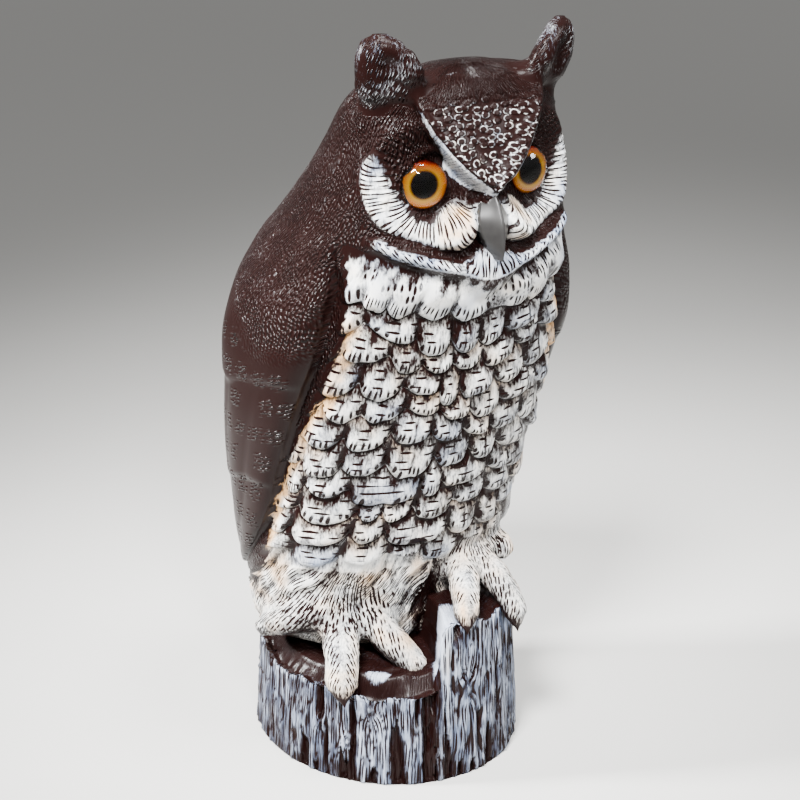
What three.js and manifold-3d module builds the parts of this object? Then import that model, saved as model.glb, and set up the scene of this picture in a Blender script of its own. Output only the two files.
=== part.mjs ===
// A great horned owl decoy: one plastic moulding of an owl perched on a split stump, with two domed eyes
// set into sockets in its face. The moulding is hollow in life and is modelled as one solid.
// Millimetres, +Z up. The owl looks along -Y, its left side is +X, and the origin is the middle of the
// stump's flat underside.

import * as THREE from "three";
import { mergeVertices } from "three/addons/utils/BufferGeometryUtils.js";
import Module from "manifold-3d";

// Driving dimensions
const TOTAL_HEIGHT = 457;
const STUMP_HALF_WIDTH = 80.7;
const STUMP_HALF_DEPTH = 91;
const LOW_LEDGE = 58;
const HIGH_LEDGE = 99;
const EYE_RADIUS = 13.4;
const EYE_SPACING = 68.6;
const EYE_HEIGHT = 375.7;
const SOCKET_GAP = 0.3;

const { sin, cos, abs, min, max, sign, pow, hypot, exp, round, PI } = Math;
const radians = THREE.MathUtils.degToRad;
const clamp = THREE.MathUtils.clamp;
const lerp = THREE.MathUtils.lerp;

// Rises smoothly from 0 at `from` to 1 at `to`; `from` may be the larger.
function ease(from, to, x) {
  const t = clamp((x - from) / (to - from), 0, 1);
  return t * t * (3 - 2 * t);
}

const swell = (x) => exp(-x * x);

const steps = (from, to, count) =>
  Array.from({ length: count + 1 }, (_, i) => lerp(from, to, i / count));

// A smooth curve through [x, value] points that never overshoots them and is flat beyond its ends
function curveThrough(points) {
  const grades = points.map(([x, value], i) => {
    if (i === 0 || i === points.length - 1) return 0;
    const before = (value - points[i - 1][1]) / (x - points[i - 1][0]);
    const after = (points[i + 1][1] - value) / (points[i + 1][0] - x);
    return before * after <= 0 ? 0 : (2 * before * after) / (before + after);
  });
  return (x) => {
    if (x <= points[0][0]) return points[0][1];
    if (x >= points.at(-1)[0]) return points.at(-1)[1];
    const i = points.findIndex((point) => point[0] > x) - 1;
    const [x0, v0] = points[i];
    const [x1, v1] = points[i + 1];
    const width = x1 - x0;
    const t = (x - x0) / width;
    const bend = (grade0, grade1) => width * t * (1 - t) * (grade0 * (1 - t) - grade1 * t);
    return lerp(v0, v1, t * t * (3 - 2 * t)) + bend(grades[i], grades[i + 1]);
  };
}

// Skins a stack of closed rings, each an array of Vector3 of one length, and closes both ends with a fan.
function loftRings(rings) {
  const around = rings[0].length;
  const points = rings.flat();
  const index = [];
  for (let r = 0; r + 1 < rings.length; r++)
    for (let i = 0; i < around; i++) {
      const a = r * around + i;
      const b = r * around + ((i + 1) % around);
      index.push(a, b, b + around, a, b + around, a + around);
    }
  for (const [ring, start, turned] of [
    [rings[0], 0, true],
    [rings.at(-1), (rings.length - 1) * around, false],
  ]) {
    const middle = ring.reduce((sum, p) => sum.add(p), new THREE.Vector3());
    points.push(middle.divideScalar(around));
    for (let i = 0; i < around; i++) {
      const pair = [start + i, start + ((i + 1) % around)];
      index.push(...(turned ? pair.reverse() : pair), points.length - 1);
    }
  }
  return new THREE.BufferGeometry().setFromPoints(points).setIndex(index);
}

// Body and head are one form of oval sections. These curves give, for each height, where its front, back
// and sides lie. Bearings are in degrees from straight ahead, positive towards the owl's left.
const frontAt = curveThrough([
  [40, -30], [90, -41], [131, -54], [189, -72], [243, -88], [303, -103], [321, -112], [373, -112],
  [393, -108], [414, -101], [430, -96], [436, -85],
]);
const backAt = curveThrough([
  [40, 74], [90, 80], [131, 83], [189, 83], [243, 72], [290, 59], [312, 61], [333, 55], [358, 22],
  [373, 5], [393, -6], [414, -31], [432, -56], [436, -68],
]);
const halfWidthAt = curveThrough([
  [40, 66], [90, 77], [131, 84], [189, 91], [243, 96], [269, 97], [303, 90], [321, 84], [345, 80],
  [373, 73], [393, 68], [414, 64], [425, 58], [431, 47], [436, 20],
]);
const middleShareAt = curveThrough([[300, 0.52], [360, 0.44]]);
const frontSquarenessAt = curveThrough([[300, 2.2], [360, 2.3]]);
const backSquarenessAt = curveThrough([[290, 1.95], [320, 2.2], [380, 2.3]]);

const ovalReach = (x, y, squareness) =>
  pow(pow(abs(x), squareness) + pow(abs(y), squareness), -1 / squareness);

function bodyPoint(bearing, height, out = 0) {
  const s = sin(radians(bearing));
  const c = cos(radians(bearing));
  const middle = lerp(frontAt(height), backAt(height), middleShareAt(height));
  const depth = c > 0 ? middle - frontAt(height) : backAt(height) - middle;
  const squareness = (c > 0 ? frontSquarenessAt : backSquarenessAt)(height);
  const reach = ovalReach(s / halfWidthAt(height), c / depth, squareness);
  return new THREE.Vector3(s * (reach + out), middle - c * (reach + out), height);
}

// Columns run up the body. Across the breast and face they are numbered from -BREAST_COLUMNS to
// BREAST_COLUMNS, which lies at the wing's leading edge. Column BROW_COLUMN keeps to the edge of the brow
// and the sides of the beak.
const BREAST_COLUMNS = 16;
const BROW_COLUMN = 5;
const wingLeadAt = curveThrough([
  [96, 128], [114, 103], [137, 87.5], [169, 75.5], [211, 68], [242, 64], [283, 58], [303, 57.5],
  [345, 68], [373, 74], [436, 82],
]);
const browColumnAt = curveThrough([
  [318, 22], [334, 10], [350, 9.5], [358, 9], [366, 6], [372, 4], [380, 10], [388, 17], [397, 23.5],
  [406, 28], [413, 30.5], [423, 33], [431, 26], [436, 8],
]);

function bearingOf(x, height) {
  const middle = lerp(frontAt(height), backAt(height), middleShareAt(height));
  const power = frontSquarenessAt(height);
  const ahead = (middle - frontAt(height)) * pow(1 - pow(x / halfWidthAt(height), power), 1 / power);
  return THREE.MathUtils.radToDeg(Math.atan2(x, ahead));
}

function breastBearing(column, height) {
  const side = abs(column);
  const lead = wingLeadAt(height);
  const spread = (lead * BROW_COLUMN) / BREAST_COLUMNS;
  const brow = lerp(spread, bearingOf(browColumnAt(height), height), ease(300, 324, height));
  const outside = (side - BROW_COLUMN) / (BREAST_COLUMNS - BROW_COLUMN);
  return sign(column) * (outside < 0 ? (brow * side) / BROW_COLUMN : lerp(brow, lead, outside));
}

// Level lines sag in the middle of the breast and face, and fall away towards the back of the wings.
const sagAt = curveThrough([[136, 0], [296, 15], [324, 22], [350, 18], [400, 0]]);
const fallAt = curveThrough([[80, 0], [150, 18], [200, 30], [270, 30], [330, 12], [380, 0]]);
const levelToHeight = (level, across, share = 0) =>
  level + sagAt(level) * pow(abs(across), 1.5) - fallAt(level) * share;

// Breast feathers: rows of scallops like roof tiles, each row set half a feather aside from the last.
const FEATHER_TOP = 296;
const FEATHER_DROP = 16;
const FEATHER_ROWS = 10;
const FEATHER_COLUMNS = 4;
const FEATHER_ROUNDING = 0.45;
const FEATHER_RELIEF = 4.2;
const BIB_RELIEF = 2.6;

function featherSideways(column, row) {
  const place = column / FEATHER_COLUMNS + (row % 2 === 0 ? 0 : 0.5);
  return 2 * (place - round(place));
}

function rowEdge(column, row) {
  const sideways = featherSideways(column, row);
  const beforeWing = ease(BREAST_COLUMNS, BREAST_COLUMNS - 2, abs(column));
  return FEATHER_TOP - FEATHER_DROP * (row - FEATHER_ROUNDING * sideways * sideways * beforeWing);
}

function featherRelief(column, row, share) {
  const sideways = featherSideways(column, row + 1);
  const crown = 1 - 0.5 * sideways * sideways;
  const beforeWing = ease(BREAST_COLUMNS, BREAST_COLUMNS - 2.5, abs(column));
  return FEATHER_RELIEF * (crown * lerp(0.15, 1, ease(0, 0.8, share)) - 0.3) * beforeWing;
}

// Face: two dished discs round the eyes, brows in a V that carries on into the ears, full cheeks beside
// the beak, and a ruff that hangs below the discs to a point under the beak.
const DISC_RADIUS = 32.5;
const DISC_DEPTH = 12;
const browHalfWidthAt = curveThrough([
  [366, 0], [372, 1.5], [380, 10], [388, 17], [397, 23.5], [406, 28], [413, 30.5], [423, 33],
]);

const ruffHeightAt = curveThrough([[0, 326], [13, 328], [26, 331], [39, 335.5], [52, 340.5], [61, 345]]);

function faceRelief(x, z) {
  const side = abs(x);
  const fromDisc = hypot(side - EYE_SPACING / 2, z - EYE_HEIGHT) / DISC_RADIUS;
  const insideBrow = 0.75 * (browHalfWidthAt(z) - side) - max(0, 1.5 * (372 - z));
  const plate = ease(-9, -1, insideBrow);
  const dish = -DISC_DEPTH * ease(1, 0.4, fromDisc) * (1 - plate);
  const rim = 2.4 * swell((fromDisc - 1.05) / 0.16) * (1 - plate);
  const brow = plate * (2 + 5 * swell((insideBrow - 1) / 5)) * ease(431, 420, z);
  const cheek = 5.5 * swell(hypot((side - 18) / 12, (z - 353) / 10));
  const ruffLine = ruffHeightAt(side);
  const ruffHalf = lerp(8, 4, ease(0, 24, side));
  const ruff = 5 * swell((z - ruffLine) / ruffHalf) * ease(70, 55, side);
  const crease = -4.5 * swell((z - ruffLine - ruffHalf - 4) / 3.6) * ease(64, 48, side);
  const throat = -3 * swell((z - ruffLine + ruffHalf + 4) / 5) * ease(66, 36, side);
  return dish + rim + brow + cheek + ruff + crease + throat;
}

// Wings: folded against the sides, thickest at the wrist, in three overlapping layers of feathers
const wingThicknessAt = curveThrough([
  [90, 0], [112, 3.5], [136, 4.5], [160, 5.5], [189, 5.5], [243, 6], [270, 8], [290, 9], [303, 6.5],
  [318, 2.5], [328, 0],
]);
const wingTrailAt = curveThrough([[100, 160], [180, 166], [240, 173], [300, 175]]);
const WING_LAYER_EDGES = [184, 248];
const LAYER_RELIEF = 2;
const WING_EDGE_TURN = 1.8;

function wingRelief(level) {
  const layersAbove = WING_LAYER_EDGES.reduce((sum, edge) => sum + ease(edge - 1, edge + 1, level), 0);
  const onWing = ease(98, 120, level) * ease(332, 312, level);
  return max(0, wingThicknessAt(level) + LAYER_RELIEF * (layersAbove - 1) * onWing);
}

// Places round the body: the breast columns, then shares of each wing from leading to trailing edge, and
// a column either side of the middle of the back
const breastColumns = steps(-BREAST_COLUMNS, BREAST_COLUMNS, 2 * BREAST_COLUMNS);
const breastPlaces = breastColumns.map((column) => ({ column }));
const wingPlaces = [0, 0.16, 0.44, 0.74, 1].map((share) => ({ column: BREAST_COLUMNS, share }));
const backPlace = { column: BREAST_COLUMNS, share: 1, bearing: 178 };
const otherSide = (place) => ({
  ...place,
  column: -place.column,
  bearing: place.bearing && -place.bearing,
});
const places = [
  ...breastPlaces,
  ...wingPlaces,
  backPlace,
  otherSide(backPlace),
  ...wingPlaces.toReversed().map(otherSide),
];

function carvedPoint({ column, share, bearing }, level, relief) {
  const height = levelToHeight(level, column / BREAST_COLUMNS, share);
  if (bearing !== undefined) return bodyPoint(bearing, height);
  if (share !== undefined) {
    const lead = wingLeadAt(levelToHeight(level, 1)) + WING_EDGE_TURN;
    const turn = lerp(lead, wingTrailAt(level), share);
    return bodyPoint(sign(column) * turn, height, wingRelief(level));
  }
  const turn = breastBearing(column, height);
  const plain = bodyPoint(turn, height);
  const besideWing = ease(BREAST_COLUMNS - 2.5, BREAST_COLUMNS, abs(column));
  const groove = -3 * besideWing * ease(332, 316, height) * ease(130, 160, height);
  const onFace = ease(-40, -62, plain.y) * ease(436, 430, height) * ease(297, 305, level);
  return bodyPoint(turn, height, relief + groove + onFace * faceRelief(plain.x, height));
}

function makeBody() {
  const plainRing = (level) => places.map((place) => carvedPoint(place, level, 0));
  const rings = [45, 76, 92, 100, 110, 122].map(plainRing);
  for (let row = FEATHER_ROWS - 1; row >= 0; row--)
    for (const share of [0.97, 0.5, 0.06])
      rings.push(
        places.map((place) => {
          const level = lerp(rowEdge(place.column, row), rowEdge(place.column, row + 1), share);
          return carvedPoint(place, level, featherRelief(place.column, row, share));
        }),
      );
  rings.push(
    places.map((place) => carvedPoint(place, rowEdge(place.column, 0) + 0.6, BIB_RELIEF)),
    ...steps(307, 422, 24).map(plainRing),
    ...[426, 429.5, 432.5, 434.6, 435.8].map(plainRing),
  );
  return loftRings(rings);
}

// Tail: a flat wedge down the middle of the back, ending against the stump
function makeTail() {
  const halfAt = curveThrough([[30, 30], [80, 34], [150, 30], [205, 18]]);
  const outAt = curveThrough([[30, 86], [60, 90], [120, 92], [205, 84]]);
  const section = steps(-1, 1, 8);
  const rings = steps(34, 205, 6).map((z) => [
    ...section.map((t) => new THREE.Vector3(halfAt(z) * t, outAt(z) - 5 * t * t, z)),
    ...[...section].reverse().map((t) => new THREE.Vector3(0.9 * halfAt(z) * t, 66, z)),
  ]);
  return loftRings(rings);
}

// Stump: an oval of furrowed bark, split at the front so that the owl's left foot stands a step higher
const SPLIT_BEARING = -9;
const SPLIT_TWIST = 26;
const STUMP_SQUARENESS = 2.05;
const SPLIT_HALF_TURN = 1.4;
const SPLIT_DEPTH = 5;
const FURROW_DEPTH = 4.5;
const FURROW_SPACING = 3;
const BARK_COLUMNS = 30;
const barkBearings = [
  ...steps(SPLIT_BEARING - 180, SPLIT_BEARING - SPLIT_HALF_TURN, BARK_COLUMNS),
  ...steps(SPLIT_BEARING + SPLIT_HALF_TURN, SPLIT_BEARING + 180, BARK_COLUMNS).slice(0, -1),
];

function barkRelief(column, height) {
  const furrow = column % FURROW_SPACING === 1 ? -0.75 + 0.25 * sin(column * 1.9) : 0;
  const uneven = 0.16 * sin(column * 2.3 + height / 30) + 0.16 * sin(column * 0.7 + height / 17);
  return FURROW_DEPTH * (furrow + uneven);
}

function makeStump() {
  const ringAt = (share, heightOf) =>
    barkBearings.map((bearing, column) => {
      const higher = bearing > SPLIT_BEARING;
      const height = heightOf(higher, column);
      const turned = radians(bearing + SPLIT_TWIST * (1 - share));
      const atSplit = abs(bearing - SPLIT_BEARING) <= SPLIT_HALF_TURN;
      const out = share > 0.9 ? barkRelief(column, height) - (atSplit ? SPLIT_DEPTH : 0) : 0;
      const s = sin(turned);
      const c = cos(turned);
      const reach = share * ovalReach(s / STUMP_HALF_WIDTH, c / STUMP_HALF_DEPTH, STUMP_SQUARENESS) + out;
      return new THREE.Vector3(s * reach, -c * reach, height);
    });
  const topOf = (higher, column) =>
    (higher ? HIGH_LEDGE : LOW_LEDGE) + 2.5 * sin(column * 1.7) + 1.5 * sin(column * 0.6);
  const sides = [0, 0.03, 0.35, 0.7, 1].map((part) =>
    ringAt(part === 0 ? 0.99 : 1 - 0.05 * part, (higher, column) => part * topOf(higher, column)),
  );
  const gutter = ringAt(0.88, (higher) => (higher ? HIGH_LEDGE : LOW_LEDGE - 2));
  const shelf = ringAt(0.82, (higher) => (higher ? HIGH_LEDGE + 3 : LOW_LEDGE + 8));
  const inner = ringAt(0.4, (higher) => (higher ? HIGH_LEDGE + 4 : LOW_LEDGE + 12));
  return loftRings([...sides, gutter, shelf, inner]);
}

// Sweeps an oval section along a path of { at, wide, thick }; `flat` is the direction of its wide way.
function sweepOval(path, flat, around) {
  const rings = path.map(({ at, wide, thick }, i) => {
    const before = path[max(i - 1, 0)].at;
    const tangent = path[min(i + 1, path.length - 1)].at.clone().sub(before).normalize();
    const across = flat.clone().addScaledVector(tangent, -flat.dot(tangent)).normalize();
    const over = tangent.clone().cross(across);
    return steps(0, 2 * PI, around).slice(0, -1).map((turn) =>
      at.clone().addScaledVector(across, wide * cos(turn)).addScaledVector(over, thick * sin(turn)),
    );
  });
  return loftRings(rings);
}

// Ears: flat tufts that carry on the line of the brows, up, out and a little back
const EAR_FLAT_BEARING = 117;

function makeEar(side) {
  const turn = radians(EAR_FLAT_BEARING);
  const flat = new THREE.Vector3(side * sin(turn), -cos(turn), 0);
  const station = (x, y, z, wide, thick) => ({ at: new THREE.Vector3(side * x, y, z), wide, thick });
  return sweepOval(
    [
      station(35, -74, 396, 14, 6),
      station(41, -82, 411, 18, 9),
      station(46, -87, 421, 19, 9.5),
      station(50.5, -90, 431, 18.5, 9.5),
      station(54.5, -91.5, 440, 17, 8.5),
      station(57, -91.5, 448, 13.5, 7),
      station(57.5, -91, 454, 9.5, 5),
      station(57.5, -91, TOTAL_HEIGHT, 4, 2.5),
    ],
    flat,
    14,
  );
}

// Beak: a ridged hook between the discs
function makeBeak() {
  const halfAt = curveThrough([[334, 0.8], [340, 3.6], [350, 7.2], [357, 7.6], [366, 4.4], [374, 1.2]]);
  const ridgeAt = curveThrough([[334, -125], [341, -126], [352, -125], [364, -120], [374, -113]]);
  const rings = steps(334, 374, 8).map((z) => {
    const half = halfAt(z);
    const front = ridgeAt(z);
    const back = min(-104, front + 14);
    return [
      [-half, back], [-half, front + 8], [-0.45 * half, front + 2.2], [0, front],
      [0.45 * half, front + 2.2], [half, front + 8], [half, back],
    ].map(([x, y]) => new THREE.Vector3(x, y, z));
  });
  return loftRings(rings);
}

// Feet: a feathered shank and three thick toes each, from the belly over the edge of the stump, with claws
const TOE_HALF_WIDTH = 10;
const TOE_SECTIONS = [
  [0, 1.15], [0.3, 1.1], [0.6, 1], [0.8, 0.95], [0.92, 0.72], [0.93, 0.36], [1, 0.12],
];
const toePaths = [
  [[-42, -10, 112], [-54, -38, 84], [-63, -54, 64], [-66, -62, 53]],
  [[-42, -10, 108], [-28, -42, 86], [-14, -60, 65], [-8, -67, 57]],
  [[-36, -18, 108], [-66, -15, 96], [-76, 6, 85], [-77, 22, 75]],
  [[32, -26, 128], [17, -64, 117], [6, -84, 104], [3, -90, 95]],
  [[34, -24, 128], [40, -61, 115], [44, -77, 101], [44, -84, 84]],
  [[36, -22, 136], [49, -35, 131], [58, -41, 124], [63, -42, 112]],
];
const SHANK_HALF_WIDTH = 22;
const SHANK_SECTIONS = [[0, 0.5], [0.35, 0.95], [0.7, 1.05], [0.92, 0.85], [1, 0.5]];
const shankPaths = [
  [[-34, 0, 148], [-43, -16, 124], [-51, -28, 104], [-57, -38, 88]],
  [[32, -10, 164], [36, -27, 142], [37, -42, 125], [38, -50, 114]],
];
const LIMB_FLATNESS = 0.88;

function makeLimb(path, sectionsAlong, halfWidth, around) {
  const curve = new THREE.CatmullRomCurve3(path.map((point) => new THREE.Vector3(...point)));
  const sections = sectionsAlong.map(([along, fullness]) => ({
    at: curve.getPointAt(along),
    wide: halfWidth * fullness,
    thick: LIMB_FLATNESS * halfWidth * fullness,
  }));
  const way = curve.getPointAt(1).sub(curve.getPointAt(0));
  return sweepOval(sections, new THREE.Vector3(-way.y, way.x, 0).normalize(), around);
}

// Eyes: flat-backed domes, turned a little outwards
const EYE_FRONT = -104;
const EYE_OUTWARD = 12;
const EYE_DOME = 7;
const EYE_BACK = 10;

function makeEye(grow) {
  const radius = EYE_RADIUS + grow;
  const back = -EYE_BACK - grow;
  const dome = steps(0, PI / 2, 5).map((turn) =>
    new THREE.Vector2(radius * sin(turn), (EYE_DOME + grow) * cos(turn)),
  );
  const outline = [new THREE.Vector2(0, back), new THREE.Vector2(radius, back), ...dome.reverse()];
  return new THREE.LatheGeometry(outline, 18).rotateX(PI);
}

function placeEye(object, side) {
  object.position.set((side * EYE_SPACING) / 2, EYE_FRONT + EYE_DOME, EYE_HEIGHT);
  object.rotation.z = side * radians(EYE_OUTWARD);
  object.updateMatrix();
  return object;
}

// Joining and cutting
const wasm = await Module();
wasm.setup();

function toSolid(geometry) {
  const bare = geometry.clone();
  bare.deleteAttribute("normal");
  bare.deleteAttribute("uv");
  const merged = mergeVertices(bare, 1e-4);
  const vertProperties = merged.attributes.position.array;
  const triVerts = new Uint32Array(merged.index.array);
  const build = () => new wasm.Manifold(new wasm.Mesh({ numProp: 3, vertProperties, triVerts }));
  const solid = build();
  if (solid.volume() > 0) return solid;
  for (let i = 0; i < triVerts.length; i += 3)
    [triVerts[i + 1], triVerts[i + 2]] = [triVerts[i + 2], triVerts[i + 1]];
  return build();
}

function toGeometry(solid) {
  const { vertProperties, triVerts, numProp } = solid.getMesh();
  const geometry = new THREE.BufferGeometry();
  const positions = new Float32Array(vertProperties);
  geometry.setAttribute("position", new THREE.BufferAttribute(positions, numProp));
  geometry.setIndex(new THREE.BufferAttribute(new Uint32Array(triVerts), 1));
  geometry.computeVertexNormals();
  return geometry;
}

const moulded = [
  makeBody(),
  makeStump(),
  makeTail(),
  makeBeak(),
  makeEar(-1),
  makeEar(1),
  ...toePaths.map((path) => makeLimb(path, TOE_SECTIONS, TOE_HALF_WIDTH, 8)),
  ...shankPaths.map((path) => makeLimb(path, SHANK_SECTIONS, SHANK_HALF_WIDTH, 10)),
];

let owl = moulded.map(toSolid).reduce((sum, solid) => sum.add(solid));
for (const side of [-1, 1]) {
  const socket = placeEye(new THREE.Object3D(), side);
  owl = owl.subtract(toSolid(makeEye(SOCKET_GAP).applyMatrix4(socket.matrix)));
}

const mouldedPlastic = new THREE.MeshStandardMaterial({ color: 0x3b2623, roughness: 0.5, metalness: 0 });
const amberEye = new THREE.MeshStandardMaterial({ color: 0xc87a10, roughness: 0.05, metalness: 0 });

const group = new THREE.Group();
const owlMesh = new THREE.Mesh(toGeometry(owl), mouldedPlastic);
owlMesh.name = "owl_on_stump";
group.add(owlMesh);

for (const [name, side] of [["right_eye", -1], ["left_eye", 1]]) {
  const eye = placeEye(new THREE.Mesh(makeEye(0), amberEye), side);
  eye.name = name;
  group.add(eye);
}

export default group;
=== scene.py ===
import math

import bpy
import numpy as np
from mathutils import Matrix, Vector


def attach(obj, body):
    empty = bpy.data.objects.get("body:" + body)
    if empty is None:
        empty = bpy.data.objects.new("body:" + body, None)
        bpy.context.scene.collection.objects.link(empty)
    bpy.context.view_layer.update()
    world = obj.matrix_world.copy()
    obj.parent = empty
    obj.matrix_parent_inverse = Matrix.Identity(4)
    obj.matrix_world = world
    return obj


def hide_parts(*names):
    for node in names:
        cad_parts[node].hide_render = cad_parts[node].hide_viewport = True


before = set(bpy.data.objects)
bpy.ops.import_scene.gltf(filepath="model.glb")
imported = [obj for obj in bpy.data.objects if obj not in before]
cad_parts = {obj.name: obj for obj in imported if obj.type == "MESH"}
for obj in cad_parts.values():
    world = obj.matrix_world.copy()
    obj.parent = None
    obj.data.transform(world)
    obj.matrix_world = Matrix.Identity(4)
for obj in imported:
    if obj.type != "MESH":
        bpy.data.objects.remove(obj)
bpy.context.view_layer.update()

# Camera
# It stands above and to the owl's right, where the photograph was taken, and looks a little down at it.
AROUND = math.radians(-31.88)
ABOVE = math.radians(19.75)
AWAY = 1.2
LOOKS_AT = Vector((0.0082, -0.0051, 0.2171))
FOCAL_LENGTH = 88.45

towards_camera = Vector((
    math.sin(AROUND) * math.cos(ABOVE),
    -math.cos(AROUND) * math.cos(ABOVE),
    math.sin(ABOVE),
))
camera_data = bpy.data.cameras.new("camera")
camera_data.lens = FOCAL_LENGTH
camera_data.sensor_width = 36
camera = bpy.data.objects.new("camera", camera_data)
camera.location = LOOKS_AT + AWAY * towards_camera
camera.rotation_mode = "QUATERNION"
camera.rotation_quaternion = (-towards_camera).to_track_quat("-Z", "Y")
bpy.context.collection.objects.link(camera)
bpy.context.scene.camera = camera

# Owl: body, head and wings
# One hollow blow moulding of dark brown polyethylene, with its feathers cut into the mould, then dry-brushed
# by hand. Sizes are millimetres here, and bearings degrees from straight ahead towards the owl's left.
BODY_RADIUS = 86
BREAST_COLUMNS = 16
BROW_COLUMN = 5
FEATHER_TOP = 296
FEATHER_DROP = 16
FEATHER_ROWS = 10
FEATHER_COLUMNS = 4
FEATHER_ROUNDING = 0.5
FEATHER_RELIEF = 5
BIB_TOP = 322
BIB_RELIEF = 3.4
BELLY_FOOT = 64
EYE_SPACING = 68.6
EYE_HEIGHT = 375.7
DISC_RADIUS = 32.5
DISC_DEPTH = 12
CHEEK_RELIEF = 5.5
RUFF_RELIEF = 5
WING_LAYER_EDGES = (184, 248)
LAYER_RELIEF = 1.3
QUILL_RELIEF = 0.9
GROOVE_DEPTH = 4.5
WIDEST = 100


def curve_through(*points):
    """A smooth curve through (place, value) points that never overshoots them, flat beyond its ends."""
    at, value = np.array(points, float).T
    slope = np.diff(value) / np.diff(at)
    grade = np.zeros(len(at))
    inner = slope[:-1] * slope[1:]
    total = slope[:-1] + slope[1:]
    grade[1:-1] = np.where(inner > 0, 2 * inner / np.where(total == 0, 1, total), 0)

    def curve(x):
        x = np.clip(x, at[0], at[-1])
        i = np.clip(np.searchsorted(at, x, side="right") - 1, 0, len(at) - 2)
        width = at[i + 1] - at[i]
        t = (x - at[i]) / width
        bend = width * t * (1 - t) * (grade[i] * (1 - t) - grade[i + 1] * t)
        return value[i] + (value[i + 1] - value[i]) * t * t * (3 - 2 * t) + bend

    return curve


def ease(start, end, x):
    """Rises smoothly from 0 at start to 1 at end; start may be the larger."""
    t = np.clip((x - start) / (end - start), 0, 1)
    return t * t * (3 - 2 * t)


def swell(x):
    return np.exp(-x * x)


def mix(a, b, t):
    return a + (b - a) * t


def wander(x, y, seed):
    """Wanders smoothly between -1 and 1, with about one bump per unit of x and y."""
    x, y = np.broadcast_arrays(np.asarray(x, float), np.asarray(y, float))
    left, low = np.floor(x), np.floor(y)
    across = ease(0, 1, x - left)
    up = ease(0, 1, y - low)

    def corner(i, j):
        value = np.sin((left + i) * 127.1 + (low + j) * 311.7 + seed * 74.7) * 43758.5453
        return 2 * (value - np.floor(value)) - 1

    return mix(mix(corner(0, 0), corner(1, 0), across), mix(corner(0, 1), corner(1, 1), across), up)


front_at = curve_through(
    (40, -30), (90, -41), (131, -54), (189, -72), (243, -88), (303, -103), (321, -112), (373, -112),
    (393, -108), (414, -101), (430, -96), (436, -85),
)
back_at = curve_through(
    (40, 74), (90, 80), (131, 83), (189, 83), (243, 73), (290, 62), (312, 59), (333, 50), (358, 24),
    (373, 8), (393, -11), (414, -32), (432, -56), (436, -68),
)
half_width_at = curve_through(
    (40, 66), (90, 77), (131, 84), (189, 91), (243, 96), (269, 97), (303, 90), (321, 84), (345, 80),
    (373, 73), (393, 68), (414, 64), (425, 58), (431, 47), (436, 20),
)
middle_share_at = curve_through((300, 0.52), (360, 0.44))
front_squareness_at = curve_through((300, 2.2), (360, 2.3))
back_squareness_at = curve_through((290, 1.95), (320, 2.2), (380, 2.3))
wing_lead_at = curve_through(
    (96, 128), (114, 103), (137, 87.5), (169, 75.5), (211, 68), (242, 64), (283, 58), (303, 57.5),
    (345, 68), (373, 74), (436, 82),
)
wing_trail_at = curve_through((100, 160), (180, 166), (240, 173), (300, 175))
brow_column_at = curve_through(
    (318, 22), (334, 10), (350, 9.5), (358, 9), (366, 6), (372, 4), (380, 10), (388, 17), (397, 23.5),
    (406, 28), (413, 30.5), (423, 33), (431, 26), (436, 8),
)
brow_half_width_at = curve_through(
    (366, 0), (372, 1.5), (380, 10), (388, 17), (397, 23.5), (406, 28), (413, 30.5), (423, 33),
)
ruff_height_at = curve_through((0, 326), (13, 328), (26, 331), (39, 335.5), (52, 340.5), (61, 345))
sag_at = curve_through((136, 0), (296, 15), (324, 22), (350, 18), (400, 0))
fall_at = curve_through((80, 0), (150, 18), (200, 30), (270, 30), (330, 12), (380, 0))
wing_thickness_at = curve_through(
    (90, 0), (112, 3.5), (136, 4.5), (160, 5.5), (189, 5.5), (243, 6), (270, 8), (290, 9), (303, 6.5),
    (318, 2.5), (328, 0),
)


def body_middle(height):
    return mix(front_at(height), back_at(height), middle_share_at(height))


def body_point(bearing, height, out=0):
    s = np.sin(np.radians(bearing))
    c = np.cos(np.radians(bearing))
    middle = body_middle(height)
    depth = np.where(c > 0, middle - front_at(height), back_at(height) - middle)
    power = np.where(c > 0, front_squareness_at(height), back_squareness_at(height))
    sideways = np.abs(s / half_width_at(height)) ** power
    reach = (sideways + np.abs(c / depth) ** power) ** (-1 / power) + out
    return np.stack([s * reach, middle - c * reach, height + 0 * reach], -1)


def bearing_of(x, height):
    power = front_squareness_at(height)
    sideways = (x / half_width_at(height)) ** power
    ahead = (body_middle(height) - front_at(height)) * (1 - sideways) ** (1 / power)
    return np.degrees(np.arctan2(x, ahead))


def breast_bearing(column, height):
    side = np.abs(column)
    lead = wing_lead_at(height)
    spread = lead * BROW_COLUMN / BREAST_COLUMNS
    brow = mix(spread, bearing_of(brow_column_at(height), height), ease(300, 324, height))
    outside = (side - BROW_COLUMN) / (BREAST_COLUMNS - BROW_COLUMN)
    return np.sign(column) * np.where(outside < 0, brow * side / BROW_COLUMN, mix(brow, lead, outside))


def level_to_height(level, across, share):
    return level + sag_at(level) * np.abs(across) ** 1.5 - fall_at(level) * share


def feather_place(column, row):
    """Which feather of its row a column lies on, as a number that is whole at the feather's middle."""
    shifted = column + 1.8 * wander(column / 4.3, row * 3.1, 2)
    return shifted / FEATHER_COLUMNS + 0.5 * (row % 2)


def from_feather_middle(column, row):
    place = feather_place(column, row)
    return 2 * (place - np.round(place))


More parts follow.
